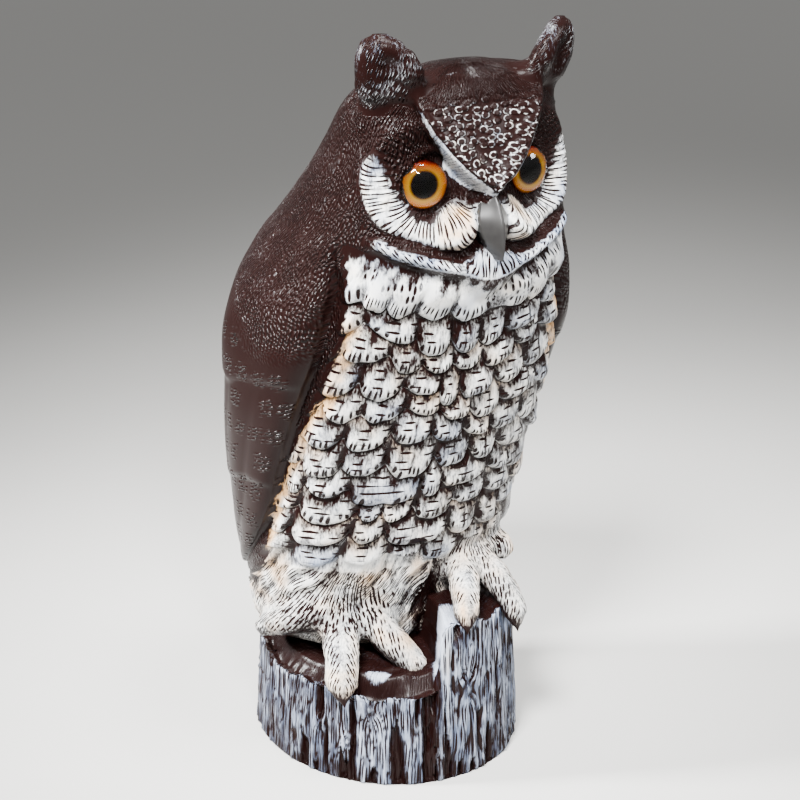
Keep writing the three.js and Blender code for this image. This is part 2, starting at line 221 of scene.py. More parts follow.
def row_edge(column, row):
    sideways = np.abs(from_feather_middle(column, row))
    before_wing = ease(BREAST_COLUMNS, BREAST_COLUMNS - 2, np.abs(column))
    lengths = 5 * wander(np.round(feather_place(column, row)) * 1.7, row * 7.3, 1) * ease(0, 1, row)
    lengths = lengths * ease(1, 0.7, sideways) + 1.1 * wander(column / 0.9, row * 3.3, 9)
    lengths = lengths + 4.5 * wander(column / 5.5, row * 0.8, 12) * ease(0, 1, row)
    rounding = FEATHER_ROUNDING * mix(0.6, 1, ease(0, 1, row)) * sideways**2.4
    return FEATHER_TOP - FEATHER_DROP * (row - rounding * before_wing) + lengths * before_wing


# Places round the body: breast columns, then shares of each wing from its leading edge to its trailing edge
# at 1 and on to the middle of the back at 2
breast = np.linspace(-BREAST_COLUMNS, BREAST_COLUMNS, 151)
wing = np.concatenate([[0.003, 0.009, 0.02, 0.038, 0.06], np.linspace(0.085, 1, 60), [1.25, 1.6, 1.9]])
column = np.concatenate([breast, np.full(len(wing), BREAST_COLUMNS), np.full(len(wing), -BREAST_COLUMNS)])
share = np.concatenate([np.zeros(len(breast)), wing, wing[::-1]])
on_wing = np.arange(len(column)) >= len(breast)

# Level lines up the body, with the feather row and the way down the feather that each one lies on
rings = []
for level in [45, 60, *np.linspace(70, 131, 26)]:
    rings.append((level + 0 * column, -1, 0))
for row in range(FEATHER_ROWS - 1, -1, -1):
    for down in (0.985, 0.955, 0.91, 0.84, 0.74, 0.62, 0.5, 0.37, 0.24, 0.12, 0.02):
        rings.append((mix(row_edge(column, row), row_edge(column, row + 1), down), row, down))
for down in (0.99, 0.96, 0.92, 0.86, *np.linspace(0.8, 0, 16)):
    rings.append((mix(BIB_TOP, row_edge(column, 0), down), -2, down))
crown_levels = [427, 428.5, 430, 431.2, 432.4, 433.5, 434.5, 435.3, 435.8]
for level in [*np.arange(BIB_TOP + 1.3, 426, 1.3), *crown_levels]:
    rings.append((level + 0 * column, -3, 0))

level = np.array([ring[0] for ring in rings])
row = np.array([ring[1] for ring in rings])[:, None] + 0 * level
down = np.array([ring[2] for ring in rings])[:, None] + 0 * level
column = column + 0 * level
share = share + 0 * level
on_wing = np.broadcast_to(on_wing, level.shape)
height = level_to_height(level, column / BREAST_COLUMNS, np.minimum(share, 1))
side_sign = np.sign(column)

lead = wing_lead_at(level_to_height(level, 1, 0))
trail = wing_trail_at(level)
wing_turn = np.where(share <= 1, mix(lead, trail, share), mix(trail, 180, share - 1))
bearing = np.where(on_wing, side_sign * wing_turn, breast_bearing(column, height))
plain = body_point(bearing, height)
x = plain[..., 0]
side = np.abs(x)
arc = np.radians(bearing) * BODY_RADIUS

# Breast feathers lap like roof tiles: each is a soft lobe, thickest just above its rounded tip
in_rows = row >= 0
in_bib = row == -2
feather_row = np.where(in_rows, row + 1, 0)
middle_way = from_feather_middle(column, feather_row)
feather = np.round(feather_place(column, feather_row))
before_wing = ease(BREAST_COLUMNS, BREAST_COLUMNS - 2.5, np.abs(column))
tip = np.sqrt(1 - np.clip((down - 0.78) / 0.22, 0, 0.995) ** 2)
notch = ease(0.66, 1, np.abs(middle_way)) * ease(0.1, 0.6, down)
fullness = 1 + 0.35 * wander(feather * 1.7, feather_row * 2.3, 5)
rise = mix(0.1, 1, 0.65 * ease(0.02, 0.34, down) + 0.35 * ease(0.2, 0.85, down))
lobe = (1 - 0.8 * np.abs(middle_way) ** 3) * rise * tip
feather_relief = FEATHER_RELIEF * np.where(in_rows, lobe * fullness - 0.35 - 0.25 * notch, 0)
feather_relief = feather_relief + 0.5 * wander(arc / 4, height / 4, 6) * in_rows
bib_lobe = (1 - 0.45 * middle_way**2 - 0.35 * notch) * ease(0, 0.7, down) * np.maximum(tip, 0.35)
bib_uneven = 0.7 * wander(arc / 7, height / 6, 8) * ease(0, 0.4, down)
bib_relief = np.where(in_bib, BIB_RELIEF * bib_lobe + bib_uneven, 0)

# The belly's hair hangs in soft folds over the legs
belly = (row == -1) & (level > BELLY_FOOT)
fold_way = arc + 0.9 * side_sign * (height - 110) + 4 * wander(arc / 20, height / 20, 7)
folds = 1 - 2 * np.abs(wander(fold_way / 7, height / 26, 3))
belly_relief = np.where(belly, 1.9 * folds + 0.9 * wander(fold_way / 3, height / 14, 4) - 0.6, 0)
breast_relief = (feather_relief + bib_relief + belly_relief) * before_wing * ~on_wing

# Face: dished discs, brows in a V, cheeks beside the beak and a ruff under the discs
disc_x = side - EYE_SPACING / 2
disc_z = height - EYE_HEIGHT
from_disc = np.hypot(np.where(disc_x > 0, disc_x * 1.14, disc_x), disc_z) / DISC_RADIUS
disc_turn = np.degrees(np.arctan2(disc_z, disc_x))
inside_brow = 0.75 * (brow_half_width_at(height) - side) - np.maximum(0, 1.5 * (372 - height))
plate = ease(-9, -1, inside_brow)
dish = -DISC_DEPTH * ease(1, 0.4, from_disc) * (1 - plate)
rim = 2.4 * swell((from_disc - 1.05) / 0.13) * (1 - plate)
brow_ridge = mix(5, 7.5, ease(395, 415, height)) * swell((inside_brow - 1) / 5)
brow = plate * (2 + brow_ridge) * ease(433, 424, height)
cheek = CHEEK_RELIEF * swell(np.hypot((side - 18) / 12, (height - 353) / 10))
ruff_line = ruff_height_at(side)
ruff_half = mix(14, 4, ease(1, 22, side))
ruff = RUFF_RELIEF * swell((height - ruff_line) / ruff_half) * ease(70, 55, side)
crease = -4.5 * swell((height - ruff_line - ruff_half - 4) / 3.6) * ease(64, 48, side)
throat = -3 * swell((height - ruff_line + ruff_half + 4) / 5) * ease(66, 36, side)
in_face = ease(-40, -62, plain[..., 1]) * ease(436, 430, height) * ease(297, 305, level)
lid = 3.4 * swell((from_disc - 0.56) / 0.08) * ease(5, 45, disc_turn) * ease(175, 145, disc_turn)
lid = lid * (1 - plate)
hairs = 0.5 * np.sin(np.radians(disc_turn) * 42 + 2 * wander(from_disc * 3, disc_turn / 20, 46))
hairs = hairs * ease(0.55, 0.75, from_disc) * ease(1.1, 1, from_disc) * (1 - plate)
beak_pit = -5 * swell((side - 8) / 3.6) * ease(334, 342, height) * ease(378, 370, height)
face_shapes = dish + beak_pit + rim + brow + cheek + ruff + crease + throat + lid + hairs
face_relief = in_face * face_shapes * ~on_wing

# Wings: folded, thickest at the wrist, in three overlapping layers with long flight feathers below
wing_edge = np.sqrt(1 - (1 - np.clip(share / 0.06, 0, 1)) ** 2)
scallop = 5 * np.abs(np.sin(share * 9.5))
layers_above = sum(ease(edge - 3, edge + 1.5, level - scallop) for edge in WING_LAYER_EDGES)
along_wing = ease(98, 120, level) * ease(332, 312, level)
quills = QUILL_RELIEF * (np.abs(np.sin(share * 19)) ** 0.6 - 0.5) * ease(270, 235, level) * along_wing
wing_thickness = wing_thickness_at(level) + LAYER_RELIEF * (layers_above - 1) * along_wing + quills
wing_relief = np.maximum(0, wing_thickness) * wing_edge * ease(1.6, 1, share) * on_wing
beside_wing = ease(BREAST_COLUMNS - 2.5, BREAST_COLUMNS, np.abs(column))
groove = -GROOVE_DEPTH * beside_wing * ease(332, 316, height) * ease(130, 160, height)

# Fine raised lines: the mantle's seam behind each disc, and the lip along the front of the crown
seam_bearing_at = curve_through((333, 90), (335, 79), (347, 79), (358, 82), (376, 87), (399, 85), (416, 74))
seam_line = swell((np.abs(bearing) - seam_bearing_at(height)) / 0.9)
seam_line = seam_line * ease(331, 335, height) * ease(420, 412, height)
lip_height_at = curve_through((0, 433.5), (12, 432.5), (27, 430.5))
lip_line = swell((height - lip_height_at(side)) / 0.7) * ease(30, 24, side)
lip_line = lip_line * (plain[..., 1] < body_middle(height))
out = breast_relief + face_relief + wing_relief + groove * ~on_wing + 0.9 * seam_line + 0.9 * lip_line
body_points = body_point(bearing, height, out)
too_wide = np.maximum(0, np.abs(body_points[..., 0]) - WIDEST)
body_points[..., 0] -= np.sign(x) * (too_wide - 4.4 * (1 - np.exp(-too_wide / 4.4)))

# Paint on the body. "cover" is how much brushed paint lies there, "tint" its colour from -1, blue grey,
# through 0, white, to 1, tan. Each kind of mark has its grid: the way along it, the way across it, and a
# depth that is above 0 for cut marks and below it for raised ones. Sizes are the grid's, in millimetres.
BARE = -0.7
CUT_MARK = (2.5, 4.4, 0)
STIPPLE_LONG = 2.7
STIPPLE_WIDE = 2.2
STIPPLE_DEPTH = 1.2
BAR_LONG = 5
BAR_APART = 2.6
BAR_DEPTH = 1.9
BAR_GROUP_WIDE = 14
BAR_GROUP_TALL = 20
CROSS_APART = 4.4
TICKS_IN_FEATHER = 9.2
SPOKES_IN_RADIAN = 11
SCALE_WIDE = 5.6
SCALE_TALL = 3.9
CHIN_HALF_WIDTH = 19
BEAK_ROOT = 362


def mark_grid(along, across, depth):
    return np.stack(np.broadcast_arrays(along, across, depth), -1)


def where_marked(here, marks, others):
    return np.where(here[..., None], marks, others)


white_edge_at = curve_through(
    (87, 130), (116, 87.4), (132, 80.9), (150, 79.8), (175, 75), (194, 70.1), (206, 68.1), (227, 63.6),
    (241, 59.6), (254, 55.8), (276, 54.3), (287, 51.9), (303, 52.7), (319, 55.9), (343, 61.6),
)
ragged = 1.3 * wander(height / 3, column, 11) + 0.9 * wander(height / 1.6, column * 2, 12)
to_edge = white_edge_at(height) - np.abs(bearing) + ragged
ragged_hair = 4 * wander(arc / 7, height / 4, 13) * (height < 118)
fade_width = mix(2.2, 14, ease(118, 100, height))
in_white = ease(-0.5, fade_width, to_edge + ragged_hair) * ~on_wing

patch = wander(feather * 1.3, feather_row * 1.9, 21)
thin = wander(feather * 2.1, feather_row * 1.1, 25)
ragged_down = down + 0.07 * wander(arc / 2, feather_row * 5, 26)
# Painted shade and bare plastic: just under each tip, where the feather above laps over it, and in the
# notches between feathers, the paint is thin and leaves dark brown
under_tip = ease(0, 0.09, down + 0.05 * wander(arc / 3, height / 3, 30))
built_up = ease(0.08, 0.55 + 0.15 * thin, ragged_down) * (1 - 0.5 * np.abs(middle_way) ** 3)
feather_cover = mix(0.2, 0.77, built_up) + 0.18 * thin
breast_cover = mix(-0.15, feather_cover, under_tip) - 0.8 * notch * ease(1, 0.9, down)
breast_cover = breast_cover + 0.24 * wander(arc / 5, height / 5, 22)
breast_cover = breast_cover + 0.18 * wander(arc / 1.4, height / 7, 28)
by_wing = ease(10, 6, to_edge + 1.5 * patch) * ease(312, 300, height)
wing_side_cover = np.maximum(breast_cover + 0.15, 0.62 + 0.2 * wander(arc / 2, height / 4, 38))
breast_cover = mix(breast_cover, wing_side_cover, by_wing)
tan_strip = ease(10, 3, to_edge + 3 * patch) * ease(312, 296, height)
breast_tint = 0.35 - 0.55 * built_up + 0.5 * patch + 1.15 * tan_strip
breast_tint = breast_tint + 0.5 * swell(arc / 26) * swell((height - 262) / 16)
# Painted shade and bare plastic: each bib lobe is dark brown at its top, under the ruff, and in its notches
bib_tips = ease(0.08, 0.36, down + 0.2 * wander(arc / 4, height / 6, 23))
bib_cover = mix(0.12, 0.98 + 0.3 * wander(arc / 5, height / 5, 37), bib_tips)
bib_cover = bib_cover - 0.55 * notch * ease(0.4, 0.8, down)
belly_cover = 0.5 + 0.5 * folds + 0.2 * wander(arc / 5, height / 16, 24)
# Painted shade: under the belly, between the legs, the paint is thinned to dark brown
belly_cover = belly_cover - 0.6 * ease(18, 4, np.abs(arc - 2)) * ease(132, 112, height)
belly_tint = 0.45 + 0.4 * wander(arc / 12, height / 9, 27)
cover = np.select([in_rows, in_bib, belly], [breast_cover, bib_cover, belly_cover], BARE)
tint = np.select([in_rows, in_bib, belly], [breast_tint, -0.1, belly_tint], 0)
cover = mix(BARE, cover, in_white)

# Head sides, crown, mantle and shoulders are stippled; wings have small groups of raised bars
stipple_way = height / STIPPLE_LONG + arc / 4.4 + 0.9 * wander(arc / 7, height / 7, 35)
stipple_across = arc / STIPPLE_WIDE + 0.9 * wander(arc / 7, height / 7, 36)
stroke = mark_grid(stipple_way, stipple_across, 0.6 * wander(arc / 12, height / 12, 34) - STIPPLE_DEPTH)
slim = np.full(level.shape + (3,), 1.0) * [1.7, 2.1, 0]
group_x = arc / BAR_GROUP_WIDE + 0.5 * (np.round(height / BAR_GROUP_TALL) % 2)
group_x = group_x + 0.18 * wander(arc / 30, height / 30, 32)
group_z = height / BAR_GROUP_TALL + 0.18 * wander(arc / 25, height / 40, 33)
in_group = ease(0.33, 0.24, np.abs(group_x - np.round(group_x)))
in_group = in_group * ease(0.3, 0.22, np.abs(group_z - np.round(group_z)))
in_group = in_group * (wander(np.round(group_x) * 1.7, np.round(group_z) * 2.9, 31) > -0.55)
bar_depth = -BAR_DEPTH * in_group * ease(1, 0.6, share)
bars = mark_grid(arc / BAR_LONG, (height + 0.35 * np.abs(arc)) / BAR_APART, bar_depth)
coverts_top = 288 - 30 * ease(0.5, 0.1, share) + 5 * wander(share * 9, 0, 39)
on_coverts = on_wing & (level < coverts_top)
stroke[..., 2] *= np.where(on_wing, ease(coverts_top, coverts_top + 22, level), 1)
stroke = where_marked(on_coverts, bars, stroke)
slim = where_marked(on_coverts, [2.3, 3, 0], slim)
stroke[..., 2] = np.where((row == -1) & (level <= BELLY_FOOT), 0, stroke[..., 2])

# Breast: two pairs of cross marks on each feather, then ticks along its tip
crosses = mark_grid(
    middle_way + 2 * feather + 0.5,
    (FEATHER_TOP - FEATHER_DROP * row - level) / CROSS_APART + 0.5,
    1.2 * ease(0.12, 0.2, down) * ease(0.76, 0.7, down) * ease(0.95, 0.8, np.abs(middle_way)) * in_white,
)
fringe = mark_grid(
    (down - 0.68) / 0.4 + 3 * feather_row,
    0.5 * TICKS_IN_FEATHER * middle_way / (0.8 + 0.5 * down) + TICKS_IN_FEATHER * feather,
    1.2 * ease(0.68, 0.78, down) * (in_rows | in_bib) * in_white,
) * ~on_wing[..., None]
shaft = 0.7 * swell(middle_way / 0.05) * ease(0.2, 0.3, down) * ease(0.9, 0.8, down)
shaft = shaft * in_rows * (thin > -0.2)
crossed = in_rows & (to_edge > -0.5) & (to_edge < 90)
slim = where_marked(crossed, [4.2, 6, 0], slim)
stroke = where_marked(crossed, crosses, stroke)
bib_depth = ease(-0.2, 0.3, wander(arc / 9, height / 8, 29))
bib_depth = bib_depth * ease(0.16, 0.3, down) * ease(0.7, 0.62, down) * in_white
bib_marked = in_bib & (to_edge > -0.5)
stroke = where_marked(bib_marked, mark_grid(height / 6.5, arc / 3.6 + height / 30, bib_depth), stroke)
belly_marked = belly & (to_edge > 0)
belly_marks = mark_grid((height - 0.6 * side_sign * fold_way) / 8, fold_way / 2.3, 0.95)
stroke = where_marked(belly_marked, belly_marks, stroke)

# Face paint: the discs are dark round the eyes and above them, and white outside and below, with marks that
# spread like spokes; the cheeks are cream, and the ruff and the brows' outer slopes are blue white
on_face = (row == -3) & ~on_wing & (plain[..., 1] < -50)
spoke_ragged = 0.05 * wander(disc_turn / 7, from_disc, 41) + 0.06 * wander(disc_turn / 3.5, 0, 42)
disc_out = from_disc + spoke_ragged
below = ease(mix(26, 50, ease(0.8, 1, disc_out)), 8, disc_turn) * ease(-180, -160, disc_turn)
inner_end = mix(mix(0.58, 0.74, ease(-40, 20, disc_turn)), 0.56, ease(-40, -80, disc_turn))
disc_white = below * ease(inner_end, inner_end + 0.16, disc_out) * ease(1.13, 1.06, from_disc)
inner_dark = ease(-6, 6, disc_x + 0.5 * (disc_z + 22)) + ease(-8, -18, disc_z)
disc_white = disc_white * np.clip(inner_dark, 0, 1)
over_ruff = ease(3.5, 7.5, height - ruff_line - ruff_half)
cheek_white = ease(1.15, 0.75, np.hypot((side - 20) / 14, (height - 352) / 13)) * ease(9.5, 12, side)
in_ruff = ease(1.1, 0.7, np.abs(height - ruff_line) / ruff_half + 0.15 * wander(arc / 3, height / 3, 43))
in_ruff = in_ruff * ease(66, 56, side)
band_width_at = curve_through((362, 3), (370, 7), (377, 11.5), (385, 10.5), (393, 6), (403, 3.5), (424, 2.5))
band_width = band_width_at(height)
brow_out = inside_brow + 0.9 * wander(arc / 3, height / 3, 47)
brow_band = ease(-band_width - 1, -band_width + 1, brow_out) * ease(0.5, -1.2, brow_out)
brow_band = brow_band * ease(361, 366, height) * mix(1, 0.5, ease(392, 408, height)) * ease(426, 414, height)
disc_cover = np.clip(np.maximum(disc_white, cheek_white) * over_ruff, 0, 1)
under_ruff = ease(8, 14, ruff_line - height - ruff_half * 0.6) * in_white
disc_patchy = (0.92 + 0.3 * wander(arc / 3.5, height / 3.5, 45)) * disc_cover
face_cover = np.maximum.reduce([disc_patchy, 0.92 * in_ruff, 0.95 * brow_band, 0.8 * under_ruff])
rim_line = swell((from_disc - 1.06) / 0.035) * ease(75, 45, disc_turn) * ease(-150, -110, disc_turn)
face_tint = np.where(brow_band > 0.4, -0.45, np.where(in_ruff > 0.5, -0.65, 0.0))
face_tint = face_tint + 0.5 * cheek_white * (in_ruff < 0.5) + 0.5 * rim_line
face_tint = face_tint - 0.35 * disc_white * ease(0.8, 1, from_disc) + 0.3 * wander(arc / 7, height / 5, 44)
cover = np.where(on_face, mix(BARE, face_cover, ease(0, 0.3, face_cover)), cover)
tint = np.where(on_face, face_tint, tint)
spokes = mark_grid(
    from_disc * 3.1,
    np.radians(disc_turn) * SPOKES_IN_RADIAN + 0.8 * wander(from_disc * 3, disc_turn / 25, 50),
    mix(1.5, 0.8, ease(0.6, 0.95, from_disc)) * ease(0.3, 0.6, disc_cover),
)
from_root = np.hypot(x, height - BEAK_ROOT)
fan_turn = np.arctan2(x, height - BEAK_ROOT)
slants = mark_grid((side + height) / 7, (side - 0.7 * height) / 2.3, 1.1 * in_ruff)
chin_hair = mark_grid(from_root / 15, fan_turn * 13 + 0.7 * wander(side / 4, height / 9, 54), 1.35 * in_ruff)
band_marks = mark_grid(inside_brow / 9, (side + height) / 2.4, 0.35 * brow_band)
spoked = on_face & (disc_cover > 0.12)
ruffed = on_face & (in_ruff > 0.2) & (disc_cover < 0.3)
on_chin = ruffed & (side < CHIN_HALF_WIDTH)
banded = on_face & (brow_band > 0.1)
stroke = where_marked(spoked, spokes, stroke)
stroke = where_marked(ruffed, slants, stroke)
stroke = where_marked(on_chin, chin_hair, stroke)
stroke = where_marked(banded, band_marks, stroke)

# Raised scales fill the V between the brows, and thin out towards the crown, which is faintly stippled
in_scales = ease(-1.5, 1, inside_brow) * ease(425, 414, height) * ease(366, 370, height) * on_face
scale_paint = in_scales * mix(1, 0.3, ease(372, 408, height + 4 * wander(arc / 6, height / 6, 48)))
scales = mark_grid(x / SCALE_WIDE, height / SCALE_TALL + 0.1 * wander(x / 5, height / 5, 49), in_scales)
smooth = np.maximum(in_scales, 0.55 * ease(418, 424, height) * ease(38, 30, side))
stroke[..., 2] = stroke[..., 2] * (1 - smooth)

# Where two kinds of mark meet there are none, because one kind can't run into the other
kinds = (on_coverts, crossed, bib_marked, belly_marked, spoked, spoked & (disc_x < 0) & (disc_z > 0),
         ruffed, on_chin, banded)
kind = np.zeros(level.shape)
for number, here in enumerate(kinds):
    kind = np.where(here, number + 1, kind)
to_next = kind != np.roll(kind, -1, 1)
to_above = kind[:-1] != kind[1:]
meeting = to_next | np.roll(to_next, 1, 1)
meeting[:-1] |= to_above
meeting[1:] |= to_above
stroke[..., 2] = np.where(meeting, 0, stroke[..., 2])
slim = where_marked((stroke[..., 2] > 0) & ~crossed, [2.5, 4.2, 0], slim)
cover = np.maximum(cover, mix(BARE, 0.05, seam_line))
cover = np.maximum(cover, mix(BARE, 0.1, lip_line))
cover = np.where(in_scales > 0.3, 0.46 * scale_paint - 0.58, cover)
cover = cover - shaft


def skin(name, points, marks):
    """A closed mesh through rings of points in millimetres, with its paint marks as attributes."""
    ring_count, around = points.shape[:2]
    index = np.arange(ring_count * around).reshape(ring_count, around)
    a, b = index[:-1], np.roll(index[:-1], -1, axis=1)
    c, d = np.roll(index[1:], -1, axis=1), index[1:]
    faces = np.stack([a, b, c, d], -1).reshape(-1, 4).tolist()
    ends = [points[0].mean(0), points[-1].mean(0)]
    first, last = ring_count * around, ring_count * around + 1
    faces += [[int(j), int(i), first] for i, j in zip(index[0], np.roll(index[0], -1))]
    faces += [[int(i), int(j), last] for i, j in zip(index[-1], np.roll(index[-1], -1))]
    every = np.concatenate([points.reshape(-1, 3), ends]) * 0.001
    mesh = bpy.data.meshes.new(name)
    mesh.from_pydata(every.tolist(), [], faces)
    for mark, value in marks.items():
        flat = value.reshape(ring_count * around, -1)
        end_marks = [flat[:around].mean(0, keepdims=True), flat[-around:].mean(0, keepdims=True)]
        flat = np.concatenate([flat, *end_marks])
        kind, field = ("FLOAT_VECTOR", "vector") if flat.shape[1] == 3 else ("FLOAT", "value")
        attribute = mesh.attributes.new(mark, kind, "POINT")
        attribute.data.foreach_set(field, flat.ravel().astype(np.float32))
    piece = bpy.data.objects.new(name, mesh)
    bpy.context.collection.objects.link(piece)
    return piece


def marks_of(cover, tint, stroke, fringe=None, scales=None, slim=CUT_MARK):
    """All the marks of a part of the owl. "moulded" is 1, and falls below it where parts are joined."""
    nothing = np.zeros(cover.shape + (3,))
    return {
        "slim": nothing + slim,
        "cover": cover,
        "tint": tint,
        "stroke": stroke,
        "fringe": nothing if fringe is None else fringe,
        "scales": nothing if scales is None else scales,
        "moulded": np.ones(cover.shape),
    }


# The crown closes over in a low dome
top = body_points[-1]
dome = []
for shrink in (0.85, 0.65, 0.42, 0.2):
    dome.append(top.mean(0) + (top - top.mean(0)) * shrink + [0, 0, 1.3 * (1 - shrink**2)])
body_points = np.concatenate([body_points, dome])
body_marks = marks_of(cover, tint, stroke, fringe, scales, slim)
for mark, value in body_marks.items():
    body_marks[mark] = np.concatenate([value, np.repeat(value[-1:], len(dome), 0)])
body = skin("owl", body_points, body_marks)

# Owl: tail, ears, feet and beak
# They belong to the same moulding. Each is shaped as a closed form of its own here, and all of them are then
# joined to the body, with the line where they meet eased into a fillet, as a mould has it.
OWL_TOP = 457
EAR_FLAT_BEARING = 117
SHANK_HALF_WIDTH = 22
LIMB_FLATNESS = 0.88
TAIL_TOP = 205


def path_through(points, shares):
    """Places at the given shares of the length of a smooth curve through a few points."""
    points = np.array(points, float)
    points = np.concatenate([[2 * points[0] - points[1]], points, [2 * points[-1] - points[-2]]])
    t = np.linspace(0, len(points) - 3, 400)
    i = np.minimum(t.astype(int), len(points) - 4)
    u = (t - i)[:, None]
    before, start, end, after = (points[i + k] for k in range(4))
    curve = 0.5 * (
        2 * start + (end - before) * u + (2 * before - 5 * start + 4 * end - after) * u**2
        + (3 * start - before - 3 * end + after) * u**3
    )
    length = np.concatenate([[0], np.linalg.norm(np.diff(curve, axis=0), axis=1).cumsum()])
    return np.stack([np.interp(shares * length[-1], length, curve[:, k]) for k in range(3)], -1), length[-1]


def sweep(path, wide, thick, flat, turns):
    """Rings of an oval carried along a path; flat is the direction of its wide way."""
    tangent = np.gradient(path, axis=0)
    tangent /= np.linalg.norm(tangent, axis=1, keepdims=True)
    across = flat - (tangent @ flat)[:, None] * tangent
    across /= np.linalg.norm(across, axis=1, keepdims=True)
    over = np.cross(tangent, across)
    wide_part = across[:, None] * (wide * np.cos(turns))[..., None]
    return path[:, None] + wide_part + over[:, None] * (thick * np.sin(turns))[..., None]


parts = []

# Tail: five long feathers closed into a wedge, each a little longer than the next one out
tail_half_at = curve_through((30, 29), (60, 33), (110, 34), (150, 30), (TAIL_TOP, 18))
tail_out_at = curve_through((30, 84), (60, 90), (120, 92), (TAIL_TOP, 84))
tail_across = np.linspace(-1, 1, 61)[None]
tail_feather = 2.5 * tail_across
from_shaft = 2 * (tail_feather - np.round(tail_feather))
tail_end = 35 + 5.5 * np.abs(np.round(np.clip(tail_feather, -2, 2))) + 7 * np.abs(from_shaft) ** 2.5
tail_end = np.minimum(tail_end, 62)
tail_down = np.concatenate([[0, 0.004, 0.012, 0.025], np.linspace(0.045, 1, 64)])[:, None]
tail_z = mix(tail_end, TAIL_TOP, tail_down)
round_end = np.sqrt(1 - (1 - np.minimum(1, tail_down / 0.025)) ** 2)
feather_lap = 1.4 * (1 - np.abs(from_shaft) ** 3) - 0.5 * swell(from_shaft / 0.1)
feather_lap = feather_lap - 0.5 * np.abs(np.round(tail_feather))
tail_y = tail_out_at(tail_z) - 5 * tail_across**2 + (feather_lap - 1.4) - 3.5 * (1 - round_end)
outer = np.stack(np.broadcast_arrays(tail_half_at(tail_z) * tail_across, tail_y, tail_z), -1)
inner = outer[:, ::-10] * [0.94, 1, 1]
inner[..., 1] = 66
tail_points = np.concatenate([outer, inner], 1)[:, ::-1]
tail_height = tail_points[..., 2]
barb_side = np.concatenate([from_shaft, from_shaft[:, ::-10]], 1)[:, ::-1] + 0 * tail_height
barbs = mark_grid(barb_side * 1.5, (tail_height - 5 * np.abs(barb_side)) / 2.4, 0.5)
parts.append(skin("tail", tail_points, marks_of(BARE + 0 * tail_height, 0 * tail_height, barbs)))

# Ears: flat tufts that carry on the line of the brows, up, out and a little back
ear_z = np.array([396, 411, 421, 431, 440, 448, 454, OWL_TOP])
ear_x_at = curve_through(*zip(ear_z, (35, 41, 46, 50.5, 54.5, 57, 57.5, 57.5)))
ear_y_at = curve_through(*zip(ear_z, (-74, -82, -87, -90, -91.5, -91.5, -91, -91)))
ear_wide_at = curve_through(*zip(ear_z, (14, 18, 19, 18.5, 17, 13.5, 9.5, 4)))
ear_thick_at = curve_through(*zip(ear_z, (6, 9, 9.5, 9.5, 8.5, 7, 5, 2.5)))
ear_tip = [449.5, 451, 452.4, 453.6, 454.6, 455.5, 456.2, 456.7, OWL_TOP]
ear_height = np.concatenate([np.linspace(396, 448, 34), ear_tip])
ear_turns = np.linspace(0, 2 * np.pi, 44, endpoint=False)[None]
for ear_side in (-1, 1):
    flat_turn = math.radians(EAR_FLAT_BEARING)
    flat = np.array([ear_side * math.sin(flat_turn), -math.cos(flat_turn), 0])
    path = np.stack([ear_side * ear_x_at(ear_height), ear_y_at(ear_height), ear_height], -1)
    front = ease(0, 0.5, -ear_side * np.sin(ear_turns))
    lengthways = ear_height[:, None] + 0 * ear_turns
    round_way = ear_turns * 13 + 0 * lengthways
    hollow = 1 - 0.62 * front * swell((np.cos(ear_turns) + 0.1) / 0.42) * ease(452, 440, lengthways)
    fold = 1 + 0.16 * front * swell((np.cos(ear_turns) - 0.25) / 0.12)
    thick = ear_thick_at(ear_height)[:, None] * hollow * fold
    uneven = 1 + 0.03 * wander(ear_turns * 2, lengthways / 7, 51 + ear_side)
    points = sweep(path, ear_wide_at(ear_height)[:, None] * uneven, thick, flat, ear_turns)
    points[..., 2] = np.minimum(points[..., 2], OWL_TOP)
    hatch_depth = -2.2 * ease(0.15, 0.5, front + 0.35) * ease(456, 450, lengthways)
    hatch = mark_grid(
        (lengthways * 0.8 + round_way * 0.6) / 4.4,
        (lengthways * 0.6 - round_way * 0.8) / 1.7,
        hatch_depth * ease(-0.5, 0.3, wander(round_way / 8, lengthways / 8, 52)),
    )
    dusting = 0.04 + 0.03 * (ear_side > 0) + 0.2 * wander(round_way / 6, lengthways / 9, 53)
    parts.append(skin("ear", points, marks_of(dusting, -0.25 + 0 * lengthways, hatch)))

# Feet: a feathered shank and three thick toes each, gripping the stump's edge, every toe with a small claw
toe_paths = [
    [[-42, -10, 112], [-54, -38, 84], [-63, -54, 64], [-66, -62, 53]],
    [[-42, -10, 108], [-28, -42, 86], [-14, -60, 65], [-8, -67, 57]],
    [[-36, -18, 108], [-66, -15, 96], [-76, 6, 85], [-77, 22, 75]],
    [[32, -26, 128], [17, -64, 117], [6, -84, 104], [3, -90, 95]],
    [[34, -24, 128], [40, -61, 115], [44, -77, 101], [44, -84, 84]],
    [[36, -22, 136], [49, -35, 131], [58, -41, 124], [63, -42, 112]],
]
toe_fullness_at = curve_through(
    (0, 1.85), (0.22, 1.75), (0.48, 1.25), (0.7, 1.04), (0.84, 0.92), (0.91, 0.72), (0.945, 0.44),
    (0.955, 0.16),
)
claw_fullness_at = curve_through((0.86, 0.5), (0.92, 0.42), (0.97, 0.26), (1, 0.08))
shank_fullness_at = curve_through((0, 0.5), (0.35, 0.9), (0.6, 0.78), (0.85, 0.42), (1, 0.15))
shank_paths = [
    [[-34, 0, 148], [-43, -16, 124], [-51, -28, 104], [-57, -38, 88]],
    [[32, -10, 164], [36, -27, 142], [37, -42, 125], [38, -50, 114]],
]


